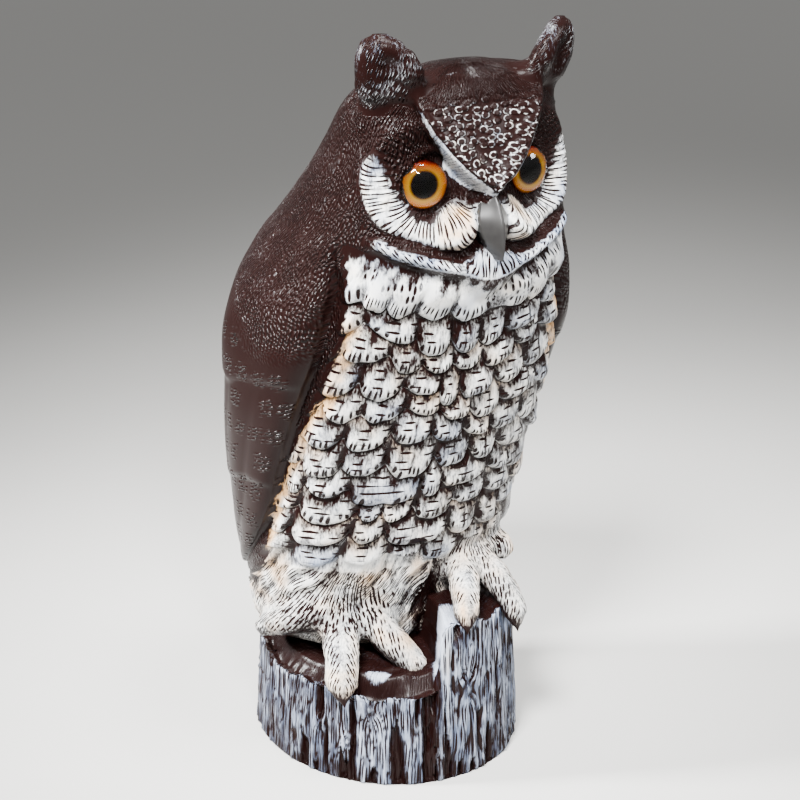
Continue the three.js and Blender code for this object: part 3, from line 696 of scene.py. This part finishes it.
def limb(name, points, shares, fullness_at, half_width, around, bare):
    """One shank, toe or claw. Its marks slant back along both sides from the line of its top."""
    path, length = path_through(points, shares)
    way = path[-1] - path[0]
    flat = np.array([-way[1], way[0], 0]) / math.hypot(way[0], way[1])
    turns = np.linspace(0, 2 * np.pi, around, endpoint=False)[None]
    along = shares[:, None] * length + 0 * turns
    round_way = np.abs((turns / np.pi - 0.5 + 1) % 2 - 1) * np.pi * 0.8 * half_width + 0 * along
    lumps = 1 + (0 if bare else 0.07) * wander(turns * 2.2, along / 6, len(parts))
    wide = half_width * fullness_at(shares)[:, None] * lumps
    limb_points = sweep(path, wide, LIMB_FLATNESS * wide, flat, turns)
    patches = wander(turns * 1.5, along / 11, 60 + len(parts))
    hair = ease(-0.7, 0.1, wander(round_way / 4, along / 6, 80 + len(parts)))
    cut = mark_grid(
        (along + 0.5 * round_way) / 4.8,
        (round_way - 0.5 * along) / 2.3 + 7 * len(parts),
        (0 if bare else 1.4) * hair * ease(0.5, 4.5, round_way),
    )
    tip_bare = ease(0.8, 0.95, shares)[:, None] * ease(-0.6, 1.4, round_way / half_width)
    # Paint thins to bare brown round the underside of each toe and shank: partly where the dry brush misses,
    # partly painted shade
    cover = 0.78 + 0.3 * patches - 0.75 * ease(0.8, 2.1, round_way / half_width) - 0.9 * tip_bare
    cover = BARE + 0 * along if bare else cover
    tint = 0.35 + 0.3 * patches + 0.5 * tip_bare
    parts.append(skin(name, limb_points, marks_of(cover, tint, cut, slim=(2.2, 4.4, 0))))


toe_widths = (10, 9.5, 10, 8.2, 8.2, 9)
toe_shares = np.concatenate([np.linspace(0, 0.86, 34), [0.88, 0.9, 0.918, 0.932, 0.943, 0.95, 0.955]])
for points, half_width in zip(toe_paths, toe_widths):
    limb("toe", points, toe_shares, toe_fullness_at, half_width, 30, False)
    limb("claw", points, np.linspace(0.86, 1, 12), claw_fullness_at, half_width, 14, True)
for points in shank_paths:
    limb("shank", points, np.linspace(0, 1, 34), shank_fullness_at, SHANK_HALF_WIDTH, 48, False)

# Beak: a ridged hook between the discs
beak_half_at = curve_through((334, 0.8), (340, 4.2), (349, 8.2), (356, 8.8), (365, 5.6), (374, 1.4))
beak_ridge_at = curve_through((334, -124), (341, -125.2), (352, -124.4), (364, -119.6), (374, -113))
beak_z = np.concatenate([[334, 334.4, 335, 336], np.linspace(337, 374, 34)])[:, None]
beak_across = np.sin(np.linspace(-np.pi / 2, np.pi / 2, 25))[None]
beak_front = beak_ridge_at(beak_z) + 8 * np.abs(beak_across) ** 1.2 + 0.7 * (1 - swell(beak_across / 0.3))
beak_face = np.stack(np.broadcast_arrays(beak_half_at(beak_z) * beak_across, beak_front, beak_z), -1)
beak_back_x = beak_half_at(beak_z) * np.array([[1, -1]])
beak_back_y = np.minimum(-104, beak_ridge_at(beak_z) + 14)
beak_back = np.stack(np.broadcast_arrays(beak_back_x, beak_back_y, beak_z), -1)
beak_points = np.concatenate([beak_face, beak_back], 1)
no_paint = np.zeros(beak_points.shape[:2])
parts.append(skin("beak", beak_points, marks_of(no_paint + 1, no_paint, 0 * beak_points)))

# Owl: plastic and paint
# Moulded dark brown polyethylene, satin from the mould, under matt acrylic paint dragged on with a nearly
# dry brush. The paint takes on what stands up, so cut marks stay dark, and it shows the bristles' grain.
PLASTIC_BROWN = "130706"
BRUSH_GRAIN = 0.0013
MARK_DEPTH = 0.0009
THIN_PAINT_PATCH = 0.04 / 3
HUE_PATCH = 0.0625 / 3
RIM_BREAK = 0.1 / 33
BEAK_CLOUD = 0.00625
BEAK_DARK = "1a1919"
BEAK_LIGHT = "302f2e"


def linear(hex_colour):
    channels = [int(hex_colour[i:i + 2], 16) / 255 for i in (0, 2, 4)]
    return [c / 12.92 if c <= 0.04045 else ((c + 0.055) / 1.055) ** 2.4 for c in channels] + [1]


def add(tree, kind, settings=None, **inputs):
    """Adds a node, with its settings, and gives each named input a value or a link."""
    node = tree.nodes.new("ShaderNode" + kind)
    for name, value in (settings or {}).items():
        setattr(node, name, value)
    for name, value in inputs.items():
        socket = node.inputs[int(name[1:])] if name[1:].isdigit() else node.inputs[name.replace("_", " ")]
        value = value.outputs[0] if isinstance(value, bpy.types.Node) else value
        if isinstance(value, bpy.types.NodeSocket):
            tree.links.new(value, socket)
        else:
            socket.default_value = value
    return node


def brushed_plastic(name, cool, pale, warm, grain_stretch, grain_paint):
    """Brown plastic under three shades of paint, whose bristle grain is stretched and breaks it up."""
    material = bpy.data.materials.new(name)
    material.use_nodes = True
    tree = material.node_tree
    shader = tree.nodes["Principled BSDF"]
    place = add(tree, "TexCoord").outputs["Object"]
    cover = add(tree, "Attribute", {"attribute_name": "cover"}).outputs["Fac"]
    tint = add(tree, "Attribute", {"attribute_name": "tint"}).outputs["Fac"]
    slim = add(tree, "Attribute", {"attribute_name": "slim"}).outputs["Vector"]

    # Marks: one slim dash in each cell of their grid. Cut ones are flat below, raised ones are rounded
    depths = []
    for attribute, slimness in (("stroke", slim), ("fringe", CUT_MARK)):
        grid = add(tree, "Attribute", {"attribute_name": attribute}).outputs["Vector"]
        depth = add(tree, "SeparateXYZ", Vector=grid).outputs["Z"]
        cell = add(tree, "TexVoronoi", {"voronoi_dimensions": "2D"}, Vector=grid, Scale=1, Randomness=0.55)
        middle = cell.outputs["Position"]
        off = add(tree, "VectorMath", {"operation": "SUBTRACT"}, _0=grid, _1=middle)
        slimmed = add(tree, "VectorMath", {"operation": "MULTIPLY"}, _0=off, _1=slimness)
        away = add(tree, "VectorMath", {"operation": "LENGTH"}, _0=slimmed)
        raised = add(tree, "Math", {"operation": "LESS_THAN"}, _0=depth, _1=0)
        flat_part = add(tree, "MapRange", Value=raised, To_Min=0.7, To_Max=0.05)
        dash = add(tree, "MapRange", {"interpolation_type": "SMOOTHSTEP"},
                   Value=away.outputs["Value"], From_Min=1.2, From_Max=flat_part)
        depths.append(add(tree, "Math", {"operation": "MULTIPLY"}, _0=dash, _1=depth))
    cut = add(tree, "Math", {"operation": "ADD"}, _0=depths[0], _1=depths[1])

    # Raised scales: low domes whose rims have caught the brush, here and there
    scale = add(tree, "Attribute", {"attribute_name": "scales"}).outputs["Vector"]
    scale_depth = add(tree, "SeparateXYZ", Vector=scale).outputs["Z"]
    scale_cell = add(tree, "TexVoronoi", {"voronoi_dimensions": "2D"}, Vector=scale, Scale=1, Randomness=0.6)
    from_middle = scale_cell.outputs["Distance"]
    rim_break = add(tree, "TexNoise", Vector=place, Scale=1 / RIM_BREAK, Detail=2)
    rim_left = add(tree, "MapRange", Value=rim_break, From_Min=0.35, From_Max=0.55, To_Max=0.95)
    rim_in, rim_out, dome = (
        add(tree, "MapRange", {"interpolation_type": "SMOOTHSTEP"},
            Value=from_middle, From_Min=start, From_Max=end)
        for start, end in ((0.24, 0.36), (0.52, 0.42), (0.6, 0.2))
    )
    dome = add(tree, "Math", {"operation": "MULTIPLY"}, _0=dome, _1=scale_depth)
    rim = rim_in
    for share_left in (rim_out, rim_left, scale_depth):
        rim = add(tree, "Math", {"operation": "MULTIPLY"}, _0=rim, _1=share_left)

    # Where the brush left paint: not in cut marks, a little more on raised ones, broken up by its bristles
    stretched = add(tree, "Mapping", {"vector_type": "POINT"}, Vector=place, Scale=grain_stretch)
    bristles = add(tree, "TexNoise", Vector=stretched, Scale=1 / BRUSH_GRAIN, Detail=4, Roughness=0.65)
    grain = add(tree, "MapRange",
                Value=bristles, From_Min=0.25, From_Max=0.75, To_Min=-grain_paint, To_Max=grain_paint)
    patches = add(tree, "TexNoise", Vector=place, Scale=1 / THIN_PAINT_PATCH, Detail=4, Roughness=0.6)
    worn = add(tree, "MapRange", Value=patches, From_Min=0.3, From_Max=0.7, To_Min=-0.14, To_Max=0.14)
    dark = add(tree, "Math", {"operation": "MAXIMUM"}, _0=cut, _1=0)
    bright = add(tree, "Math", {"operation": "MINIMUM"}, _0=cut, _1=0)
    bright = add(tree, "Math", {"operation": "MULTIPLY"}, _0=bright, _1=0.24)
    laid = cover
    for operation, layer in (
        ("SUBTRACT", dark), ("SUBTRACT", bright), ("ADD", rim), ("ADD", grain), ("ADD", worn),
    ):
        laid = add(tree, "Math", {"operation": operation}, _0=laid, _1=layer)
    paint = add(tree, "MapRange", {"interpolation_type": "SMOOTHSTEP"},
                Value=laid, From_Min=0.12, From_Max=1.12)

    # Its colour wanders between the shades, and is bluer where it is thin
    hue_noise = add(tree, "TexNoise", Vector=place, Scale=1 / HUE_PATCH, Detail=3)
    hue_shift = add(tree, "MapRange",
                    Value=hue_noise, From_Min=0.3, From_Max=0.7, To_Min=-0.35, To_Max=0.35)
    thinner = add(tree, "MapRange", Value=paint, To_Min=-0.35, To_Max=0)
    hue = add(tree, "Math", {"operation": "ADD"}, _0=tint, _1=hue_shift)
    hue = add(tree, "Math", {"operation": "ADD"}, _0=hue, _1=thinner)
    along_ramp = add(tree, "MapRange", Value=hue, From_Min=-1, From_Max=1)
    ramp = add(tree, "ValToRGB", Fac=along_ramp)
    stops = ramp.color_ramp.elements
    stops[0].color, stops[1].color = linear(cool), linear(warm)
    stops.new(0.5).color = linear(pale)
    colour = add(tree, "Mix", {"data_type": "RGBA"}, Factor=paint, _6=linear(PLASTIC_BROWN), _7=ramp)
    dullness = add(tree, "MapRange", Value=paint, To_Min=0.3, To_Max=0.55)
    tree.links.new(colour.outputs[2], shader.inputs["Base Color"])
    tree.links.new(dullness.outputs[0], shader.inputs["Roughness"])
    shader.inputs["IOR"].default_value = 1.5
    shader.inputs["Specular IOR Level"].default_value = 0.09

    # The marks, the scales and the paint's own grain stand in low relief
    sunk = add(tree, "Math", {"operation": "MULTIPLY"}, _0=cut, _1=-1)
    fine = add(tree, "Math", {"operation": "MULTIPLY"}, _0=bristles, _1=0.18)
    fine = add(tree, "Math", {"operation": "MULTIPLY"}, _0=fine, _1=paint)
    relief = add(tree, "Math", {"operation": "ADD"}, _0=sunk, _1=dome)
    relief = add(tree, "Math", {"operation": "ADD"}, _0=relief, _1=fine)
    bump = add(tree, "Bump", Strength=1, Distance=MARK_DEPTH, Height=relief)
    tree.links.new(bump.outputs[0], shader.inputs["Normal"])
    return material


# On the owl the paint goes from blue grey through white to tan, and is dragged downwards
feather_paint = brushed_plastic(
    "dry_brushed_feather_paint", cool="7d8ca6", pale="dfdeda", warm="cda272",
    grain_stretch=(1, 1, 0.3), grain_paint=0.42,
)

# Beak paint: satin enamel, sprayed on, so it is smooth and even and has one soft highlight
beak_paint = bpy.data.materials.new("satin_grey_beak_paint")
beak_paint.use_nodes = True
beak_tree = beak_paint.node_tree
beak_shader = beak_tree.nodes["Principled BSDF"]
beak_place = add(beak_tree, "TexCoord").outputs["Object"]
beak_cloud = add(beak_tree, "TexNoise", Vector=beak_place, Scale=1 / BEAK_CLOUD, Detail=3)
beak_colour = add(beak_tree, "Mix", {"data_type": "RGBA"},
                  Factor=beak_cloud, _6=linear(BEAK_DARK), _7=linear(BEAK_LIGHT))
beak_tree.links.new(beak_colour.outputs[2], beak_shader.inputs["Base Color"])
beak_shader.inputs["Roughness"].default_value = 0.36
beak_shader.inputs["Specular IOR Level"].default_value = 0.3

# Join the parts to the body, then ease the lines where they meet
body.data.materials.append(feather_paint)
for part in parts:
    part.data.materials.append(beak_paint if part.name.startswith("beak") else feather_paint)
    bpy.ops.object.select_all(action="DESELECT")
    bpy.context.view_layer.objects.active = body
    joined = body.modifiers.new("join", "BOOLEAN")
    joined.operation = "UNION"
    joined.solver = "MANIFOLD"
    joined.material_mode = "TRANSFER"
    joined.object = part
    bpy.ops.object.modifier_apply(modifier=joined.name)
    bpy.data.objects.remove(part)

mesh = body.data
vertex_count = len(mesh.vertices)
edges = np.zeros(len(mesh.edges) * 2, int)
mesh.edges.foreach_get("vertices", edges)
edges = np.concatenate([edges.reshape(-1, 2), edges.reshape(-1, 2)[:, ::-1]])
neighbours = np.bincount(edges[:, 0], minlength=vertex_count)[:, None]


def neighbour_sum(values):
    sums = [np.bincount(edges[:, 0], values[edges[:, 1], k], vertex_count) for k in range(values.shape[1])]
    return np.stack(sums, -1)


def read_mark(mark):
    attribute = mesh.attributes[mark]
    size, field = (3, "vector") if attribute.data_type == "FLOAT_VECTOR" else (1, "value")
    values = np.zeros(vertex_count * size)
    attribute.data.foreach_get(field, values)
    return values.reshape(-1, size)


def write_mark(mark, values):
    field = "vector" if values.shape[1] == 3 else "value"
    mesh.attributes[mark].data.foreach_set(field, values.ravel().astype(np.float32))


# The vertices that a join has made take their marks from those beside them
seam = (read_mark("moulded") < 0.99).astype(float)
known = 1 - seam
for mark in ("cover", "tint", "slim", "stroke", "scales"):
    values = read_mark(mark)
    around_known = neighbour_sum(values * known) / np.maximum(neighbour_sum(known), 1)
    write_mark(mark, np.where(seam > 0, around_known, values))

# The joins are eased into fillets, the beak's apart, and the paint is blended across them
places = np.zeros(vertex_count * 3)
mesh.vertices.foreach_get("co", places)
places = places.reshape(-1, 3)
at_beak = (np.abs(places[:, :1]) < 0.013) & (places[:, 2:] > 0.328) & (places[:, 2:] < 0.38)
near_seam = seam * ~at_beak
for _ in range(5):
    near_seam = np.maximum(near_seam, 0.85 * np.minimum(neighbour_sum(near_seam), 1))
for _ in range(30):
    places = places + 0.6 * near_seam * (neighbour_sum(places) / neighbours - places)
mesh.vertices.foreach_set("co", places.ravel())
for mark in ("cover", "tint"):
    values = read_mark(mark)
    for _ in range(12):
        values = values + near_seam * (neighbour_sum(values) / neighbours - values)
    write_mark(mark, values)
strokes = read_mark("stroke")
strokes[:, 2:] *= 1 - np.minimum(1, seam + neighbour_sum(seam))
write_mark("stroke", strokes)

# Hair spreads from each ankle over the instep
instep_hair = read_mark("fringe")
for ankle, reach in (((-46, -16, 122), 44), ((36, -30, 142), 36)):
    from_ankle = places * 1000 - ankle
    away = np.linalg.norm(from_ankle, axis=1)
    turn = np.arctan2(from_ankle[:, 0], -0.7 * from_ankle[:, 1] - 0.7 * from_ankle[:, 2])
    hair = 1.3 * ease(reach, reach - 8, away) * ease(8, 14, away) * ease(0.05, 0.5, near_seam[:, 0])
    spread = mark_grid(away / 4.8 + 0.3 * wander(turn * 9, 0, 90), turn * 12, hair)
    instep_hair = where_marked(away < reach + 6, spread, instep_hair)
write_mark("fringe", instep_hair)
mesh.attributes.remove(mesh.attributes["moulded"])
for polygon in mesh.polygons:
    polygon.use_smooth = True
mesh.update()
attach(body, "root")
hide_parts("owl_on_stump")

# Stump
# The foot of the same moulding: an upright piece of split, weathered wood with furrowed bark and two end
# grain ledges, one lower than the other. It is dry-brushed blue grey, which leaves its cracks brown.
STUMP_HALF_WIDTH = 80.7
STUMP_HALF_DEPTH = 91
STUMP_SQUARENESS = 2.05
BARK_RADIUS = 85
LOW_LEDGE = 58
HIGH_LEDGE = 99
SPLIT_BEARING = -9
SPLIT_TWIST = 26
SPLIT_DEPTH = 4
CRACK_DEPTH = 5
# Each knot's bearing, height and size, then each long crack's bearing, lowest and highest point, and width
KNOTS = (
    (-37.5, 49, 6), (-61.5, 33, 4), (-47.5, 26, 4), (4, 57, 7), (70, 60, 7), (150, 40, 8), (-130, 30, 6),
)
CRACKS = (
    (-70.8, -10, 30, 1.5), (-57.6, -10, 42, 1.3), (-26, -10, 46, 3.4), (-6.2, -10, 34, 2.4),
    (-14.5, -10, 92, 1.6), (-45.3, -10, 62, 1.8), (-50.5, -10, 28, 1.6), (-10.5, 40, 96, 1.3),
    (15, -5, 38, 2), (22, 20, 80, 1.4),
)

bark = np.concatenate([
    np.linspace(SPLIT_BEARING - 178.6, SPLIT_BEARING - 1.4, 290),
    np.linspace(SPLIT_BEARING - 1.2, SPLIT_BEARING + 1.2, 11),
    np.linspace(SPLIT_BEARING + 1.4, SPLIT_BEARING + 178.6, 290),
    np.linspace(SPLIT_BEARING + 178.8, SPLIT_BEARING + 181.2, 11),
])[None]
from_split = bark - SPLIT_BEARING
step_up = ease(SPLIT_BEARING - 1.3, SPLIT_BEARING + 1.3, bark)
step_up = step_up * ease(SPLIT_BEARING + 181.3, SPLIT_BEARING + 178.7, bark)
around_bark = np.radians(bark) * BARK_RADIUS

# Each ring: the share of the way out from the middle, and the share of the way up the side
side_rise = np.concatenate([[0, 0.012, 0.03], np.linspace(0.05, 0.93, 48), [0.955, 0.975, 0.99]])
top_in = np.concatenate([[0.945, 0.935, 0.92, 0.905, 0.89], np.linspace(0.87, 0.3, 40)])
rise = np.concatenate([side_rise, np.ones(len(top_in))])[:, None]
share_out = np.concatenate([np.array([0.975, 0.99, 1]), 1 - 0.05 * side_rise[3:], top_in])[:, None]
on_side = rise < 1
bark_turn = bark + SPLIT_TWIST * (1 - share_out) * (rise >= 1)

edge_wave = 2.2 * wander(around_bark / 11, 0, 71) + 1.6 * wander(around_bark / 4, 0, 72)
low_top = LOW_LEDGE + edge_wave
high_top = HIGH_LEDGE + edge_wave
shelf_in = ease(0.9, 0.8, share_out)
edge_left = edge_wave * ease(0.82, 0.95, share_out)
scoop = -5 * swell((share_out - 0.9) / 0.05) * ease(-20, -30, bark) * ease(-75, -60, bark)
low_floor = LOW_LEDGE + edge_left + 9 * shelf_in + 4 * ease(0.8, 0.4, share_out) + scoop
high_floor = HIGH_LEDGE + edge_left + 4 * ease(0.85, 0.5, share_out)
end_grain = 1 * wander(share_out * 60, bark / 14, 73) + 1.2 * wander(share_out * 25, bark / 7, 74)
stump_side_z = rise * mix(low_top, high_top, step_up)
stump_top_z = mix(low_floor, high_floor, step_up) + end_grain * ease(0.94, 0.9, share_out)
stump_z = np.where(on_side, stump_side_z, stump_top_z)

# Bark furrows run with the grain, which flows round each knot
grain = around_bark + 1.5 * wander(around_bark / 16, stump_z / 30, 75)
knot_rings = np.zeros(stump_z.shape)
in_knot = np.zeros(stump_z.shape)
for knot_bearing, knot_height, knot_size in KNOTS:
    knot_x = around_bark - math.radians(knot_bearing) * BARK_RADIUS
    knot_z = (stump_z - knot_height) / 1.5
    from_knot = np.hypot(knot_x, knot_z) / knot_size
    grain = grain + 0.8 * knot_size * np.sign(knot_x) * swell(from_knot) * np.minimum(1, np.abs(knot_x) / 2)
    knot_rings += swell(from_knot / 0.8) * np.cos(from_knot * 7)
    in_knot = np.maximum(in_knot, swell(from_knot / 0.75))
ridges = 0
for spacing, length, weight, seed in ((9, 110, 0.2, 76), (4.4, 80, 0.45, 77), (2.4, 50, 0.6, 78)):
    ridges = ridges + weight * (1 - 2.6 * np.abs(wander(grain / spacing, stump_z / length, seed)))
cracks = ease(-0.58, -0.8, wander(grain / 4.5, stump_z / 50, 79))
cracks = cracks + 0.9 * ease(-0.6, -0.85, wander(grain / 2.4, stump_z / 34, 80))
for crack_bearing, low, high, width in CRACKS:
    from_crack = around_bark - math.radians(crack_bearing) * BARK_RADIUS
    wobble = 1.2 * wander(stump_z / 13, crack_bearing, 81)
    foot_closed = 1 if low < 0 else ease(low, low + 10, stump_z)
    half_open = width * ease(high, high - 22, stump_z) * foot_closed + 0.01
    cracks = cracks + swell((from_crack + wobble) / half_open) * (stump_z < high)
cracks = np.minimum(cracks, 1.2)
checks = swell(wander(grain / 3.6, stump_z / 42, 85) / 0.05)
checks = checks + 0.8 * swell(wander(grain / 2.1, stump_z / 26, 86) / 0.06)
checks = np.minimum(checks, 1) * (1 - 0.7 * in_knot)
furrowed = (1.2 * ridges - CRACK_DEPTH * cracks - checks - 1.2) * (1 - 0.6 * in_knot) + 1.1 * knot_rings
at_split = -SPLIT_DEPTH * swell((from_split + 3.2) / 2.2) * (stump_z < HIGH_LEDGE + 1)
bark_out = np.where(on_side, furrowed + at_split, 0) * ease(0, 0.02, rise + 0.004)
bark_out = bark_out + np.where(on_side, 0, (1.3 * ridges - 1.2) * ease(0.9, 0.95, share_out))

s = np.sin(np.radians(bark_turn))
c = np.cos(np.radians(bark_turn))
sideways = np.abs(s / STUMP_HALF_WIDTH) ** STUMP_SQUARENESS
stump_edge = (sideways + np.abs(c / STUMP_HALF_DEPTH) ** STUMP_SQUARENESS) ** (-1 / STUMP_SQUARENESS)
reach = np.minimum(share_out * stump_edge + bark_out, 1.005 * stump_edge)
stump_points = np.stack([s * reach, -c * reach, np.maximum(stump_z, 0)], -1)

# The bark is painted on its ridges, round its knots and along its upper edge, and the ledges here and there
# Painted light and shade: more paint where the bark faces the camera, round bearing -22, and less towards
# bearing -80
bark_cover = 0.58 - 0.14 * ease(-50, -80, bark) + 0.16 * swell((bark + 22) / 26)
bark_cover = bark_cover + 0.2 * np.clip(ridges, -1.2, 0.8) - 1.6 * cracks - 0.75 * checks + 0.35 * knot_rings
bark_cover = bark_cover + 0.12 * wander(around_bark / 12, stump_z / 22, 82)
bark_cover = bark_cover + 0.5 * ease(0.93, 0.97, rise) * (wander(around_bark / 6, 0, 83) > -0.2)
bark_cover = bark_cover - 0.8 * swell((from_split + 3) / 2.5)
bright_top = swell(np.hypot((bark + 4) / 10, (share_out - 0.8) / 0.18))
bright_top = bright_top + swell(np.hypot((bark + 40) / 7, (share_out - 0.8) / 0.05))
ledge_cover = -0.3 + 0.4 * wander(around_bark / 5, share_out * 18, 87) + 1.5 * ease(0.3, 0.65, bright_top)
ledge_cover = ledge_cover + 0.3 * ease(0.93, 0.955, share_out)
split_edge = swell((from_split - 3.4) / 2.4) * on_side * ease(40, 60, stump_z)
stump_cover = np.maximum(np.where(on_side, bark_cover, ledge_cover), 1.1 * split_edge)
stump_tint = np.where(on_side, -0.55 + 0.25 * ridges, -0.1) + 0.6 * split_edge
grain_marks = mark_grid(
    stump_z / 18 + 0.3 * wander(grain / 4, 0, 84),
    grain / 1.9,
    np.where(on_side, 0.85, 0.3) * (1 - 0.5 * in_knot),
)
stump = skin("stump", stump_points, marks_of(stump_cover, stump_tint, grain_marks))

# Bark paint: the same plastic and acrylic as the owl's, cooler, and brushed up and down the grain
bark_paint = brushed_plastic(
    "dry_brushed_bark_paint", cool="5f6b82", pale="a9b0be", warm="a49b91",
    grain_stretch=(1.4, 1.4, 0.1), grain_paint=0.32,
)
stump.data.materials.append(bark_paint)
for polygon in stump.data.polygons:
    polygon.use_smooth = True
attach(stump, "root")
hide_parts("owl_on_stump")

# Eyes
# Each is a polished dome of clear acrylic, glued into its socket in the face, with the iris and pupil
# painted on a disc that is sealed behind it. Sizes are millimetres.
EYE_RADIUS = 13.4
EYE_FRONT = -104
EYE_OUTWARD = 12
EYE_DOME = 7
EYE_BACK = 10
IRIS_DEPTH = -0.4
PUPIL_BLACK = "030202"
IRIS_EDGE = "1a0d06"
IRIS_RINGS = ((0.5, "3a1800"), (0.6, "a87a00"), (0.78, "9c5600"), (0.88, "5a2000"), (0.94, "120602"))
IRIS_TOP_SHADE = "e06a30"


def turned(name, outline, around, centre, turn):
    """Spins an outline of (radius, way forward) about the line the eye looks along, from front to back."""
    turns = np.linspace(2 * np.pi, 0, around, endpoint=False)[None]
    radius, forward = np.array(outline, float).T[..., None]
    points = np.stack([radius * np.cos(turns), -forward + 0 * turns, radius * np.sin(turns)], -1)
    c, s = math.cos(turn), math.sin(turn)
    points = points @ np.array([[c, s, 0], [-s, c, 0], [0, 0, 1]]) + centre
    far = np.broadcast_to(radius / EYE_RADIUS, points.shape[:2])
    high = np.sin(turns) * far
    piece = skin(name, points, {"out": far, "up": high})
    for polygon in piece.data.polygons:
        polygon.use_smooth = True
    return piece


# Clear acrylic, cast and polished: it shows the iris through it, and bright points of the lamps on it
clear_acrylic = bpy.data.materials.new("polished_clear_acrylic")
clear_acrylic.use_nodes = True
clear_shader = clear_acrylic.node_tree.nodes["Principled BSDF"]
clear_shader.inputs["Transmission Weight"].default_value = 1
clear_shader.inputs["Roughness"].default_value = 0
clear_shader.inputs["IOR"].default_value = 1.49

# Amber enamel, sprayed in rings from the pupil out, with no gloss of its own, and darker and redder at
# the top, which is painted shade
iris_paint = bpy.data.materials.new("amber_iris_enamel")
iris_paint.use_nodes = True
iris_tree = iris_paint.node_tree
iris_shader = iris_tree.nodes["Principled BSDF"]
far_out = add(iris_tree, "Attribute", {"attribute_name": "out"}).outputs["Fac"]
upward = add(iris_tree, "Attribute", {"attribute_name": "up"}).outputs["Fac"]
iris_rings = add(iris_tree, "ValToRGB", Fac=far_out)
iris_stops = iris_rings.color_ramp.elements
iris_stops[0].position, iris_stops[0].color = 0.47, linear(PUPIL_BLACK)
iris_stops[1].position, iris_stops[1].color = 1, linear(IRIS_EDGE)
for position, colour in IRIS_RINGS:
    iris_stops.new(position).color = linear(colour)
# Painted shade: the top of the iris is darkened and reddened
top_shade = add(iris_tree, "MapRange", Value=upward, From_Min=0.35, From_Max=0.8)
top_shaded_rings = add(iris_tree, "Mix", {"data_type": "RGBA", "blend_type": "MULTIPLY"},
             Factor=top_shade, _6=iris_rings, _7=linear(IRIS_TOP_SHADE))
iris_tree.links.new(top_shaded_rings.outputs[2], iris_shader.inputs["Base Color"])
iris_shader.inputs["Roughness"].default_value = 1
iris_shader.inputs["Specular IOR Level"].default_value = 0

for eye_name, eye_side in (("right_eye", -1), ("left_eye", 1)):
    centre = np.array([eye_side * EYE_SPACING / 2, EYE_FRONT + EYE_DOME, EYE_HEIGHT])
    dome_turns = np.radians(np.linspace(3, 90, 22))
    lens_outline = [(EYE_RADIUS * math.sin(t), EYE_DOME * math.cos(t)) for t in dome_turns]
    lens_outline += [(EYE_RADIUS, -EYE_BACK + 0.5), (EYE_RADIUS - 0.5, -EYE_BACK), (1, -EYE_BACK)]
    iris_outline = [(r, IRIS_DEPTH) for r in np.linspace(0.5, EYE_RADIUS - 0.15, 24)]
    iris_outline += [(EYE_RADIUS - 0.15, -EYE_BACK + 1), (1, -EYE_BACK + 1)]
    eye_turn = eye_side * math.radians(EYE_OUTWARD)
    lens = turned(eye_name.replace("eye", "eye_dome"), lens_outline, 64, centre, eye_turn)
    lens.data.materials.append(clear_acrylic)
    iris = turned(eye_name.replace("eye", "iris"), iris_outline, 64, centre, eye_turn)
    iris.data.materials.append(iris_paint)
    for piece in (lens, iris):
        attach(piece, "root")
        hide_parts(eye_name)

# Floor and light
# A plain pale paper floor under five soft lamps, the strongest over the camera's left shoulder, in a white
# room that is darker low down, so that it doesn't grey the brown plastic.
FLOOR_GREY = "b6b5b2"
LAMP_SPREAD = math.radians(40)
# Each lamp's name, bearing and height in degrees, distance and size in metres, and power in watts
LAMPS = (
    ("key", -50, 50, 1.7, 0.4, 9),
    ("front", -22, 36, 1.7, 0.2, 2),
    ("side", -118, 27, 1.7, 0.28, 9),
    ("top", 10, 70, 1.7, 0.4, 2.4),
    ("fill", 50, 28, 1.8, 0.5, 1.5),
)

bpy.ops.mesh.primitive_plane_add(size=30, location=(0, 0, 0))
floor = bpy.context.object
floor.name = "floor"
floor_paper = bpy.data.materials.new("matt_white_paper")
floor_paper.use_nodes = True
floor_shader = floor_paper.node_tree.nodes["Principled BSDF"]
floor_shader.inputs["Base Color"].default_value = linear(FLOOR_GREY)
floor_shader.inputs["Roughness"].default_value = 0.9
floor.data.materials.append(floor_paper)

for lamp_name, lamp_bearing, lamp_height, lamp_away, size, power in LAMPS:
    lamp_data = bpy.data.lights.new(lamp_name, "AREA")
    lamp_data.size = size
    lamp_data.energy = power
    lamp_data.spread = LAMP_SPREAD
    lamp = bpy.data.objects.new(lamp_name, lamp_data)
    around, up = math.radians(lamp_bearing), math.radians(lamp_height)
    to_lamp = Vector((math.sin(around) * math.cos(up), -math.cos(around) * math.cos(up), math.sin(up)))
    lamp.location = LOOKS_AT + lamp_away * to_lamp
    lamp.rotation_mode = "QUATERNION"
    lamp.rotation_quaternion = to_lamp.to_track_quat("Z", "Y")
    bpy.context.collection.objects.link(lamp)

room = bpy.data.worlds.new("bright_room")
room.use_nodes = True
room_light = room.node_tree.nodes["Background"]
room_light.inputs["Color"].default_value = (1, 1, 1, 1)
room_way = add(room.node_tree, "TexCoord").outputs["Generated"]
upwards = add(room.node_tree, "SeparateXYZ", Vector=room_way).outputs["Z"]
brighter = add(room.node_tree, "MapRange", Value=upwards, From_Max=0.7, To_Min=0.24, To_Max=0.5)
room.node_tree.links.new(brighter.outputs[0], room_light.inputs["Strength"])
bpy.context.scene.world = room
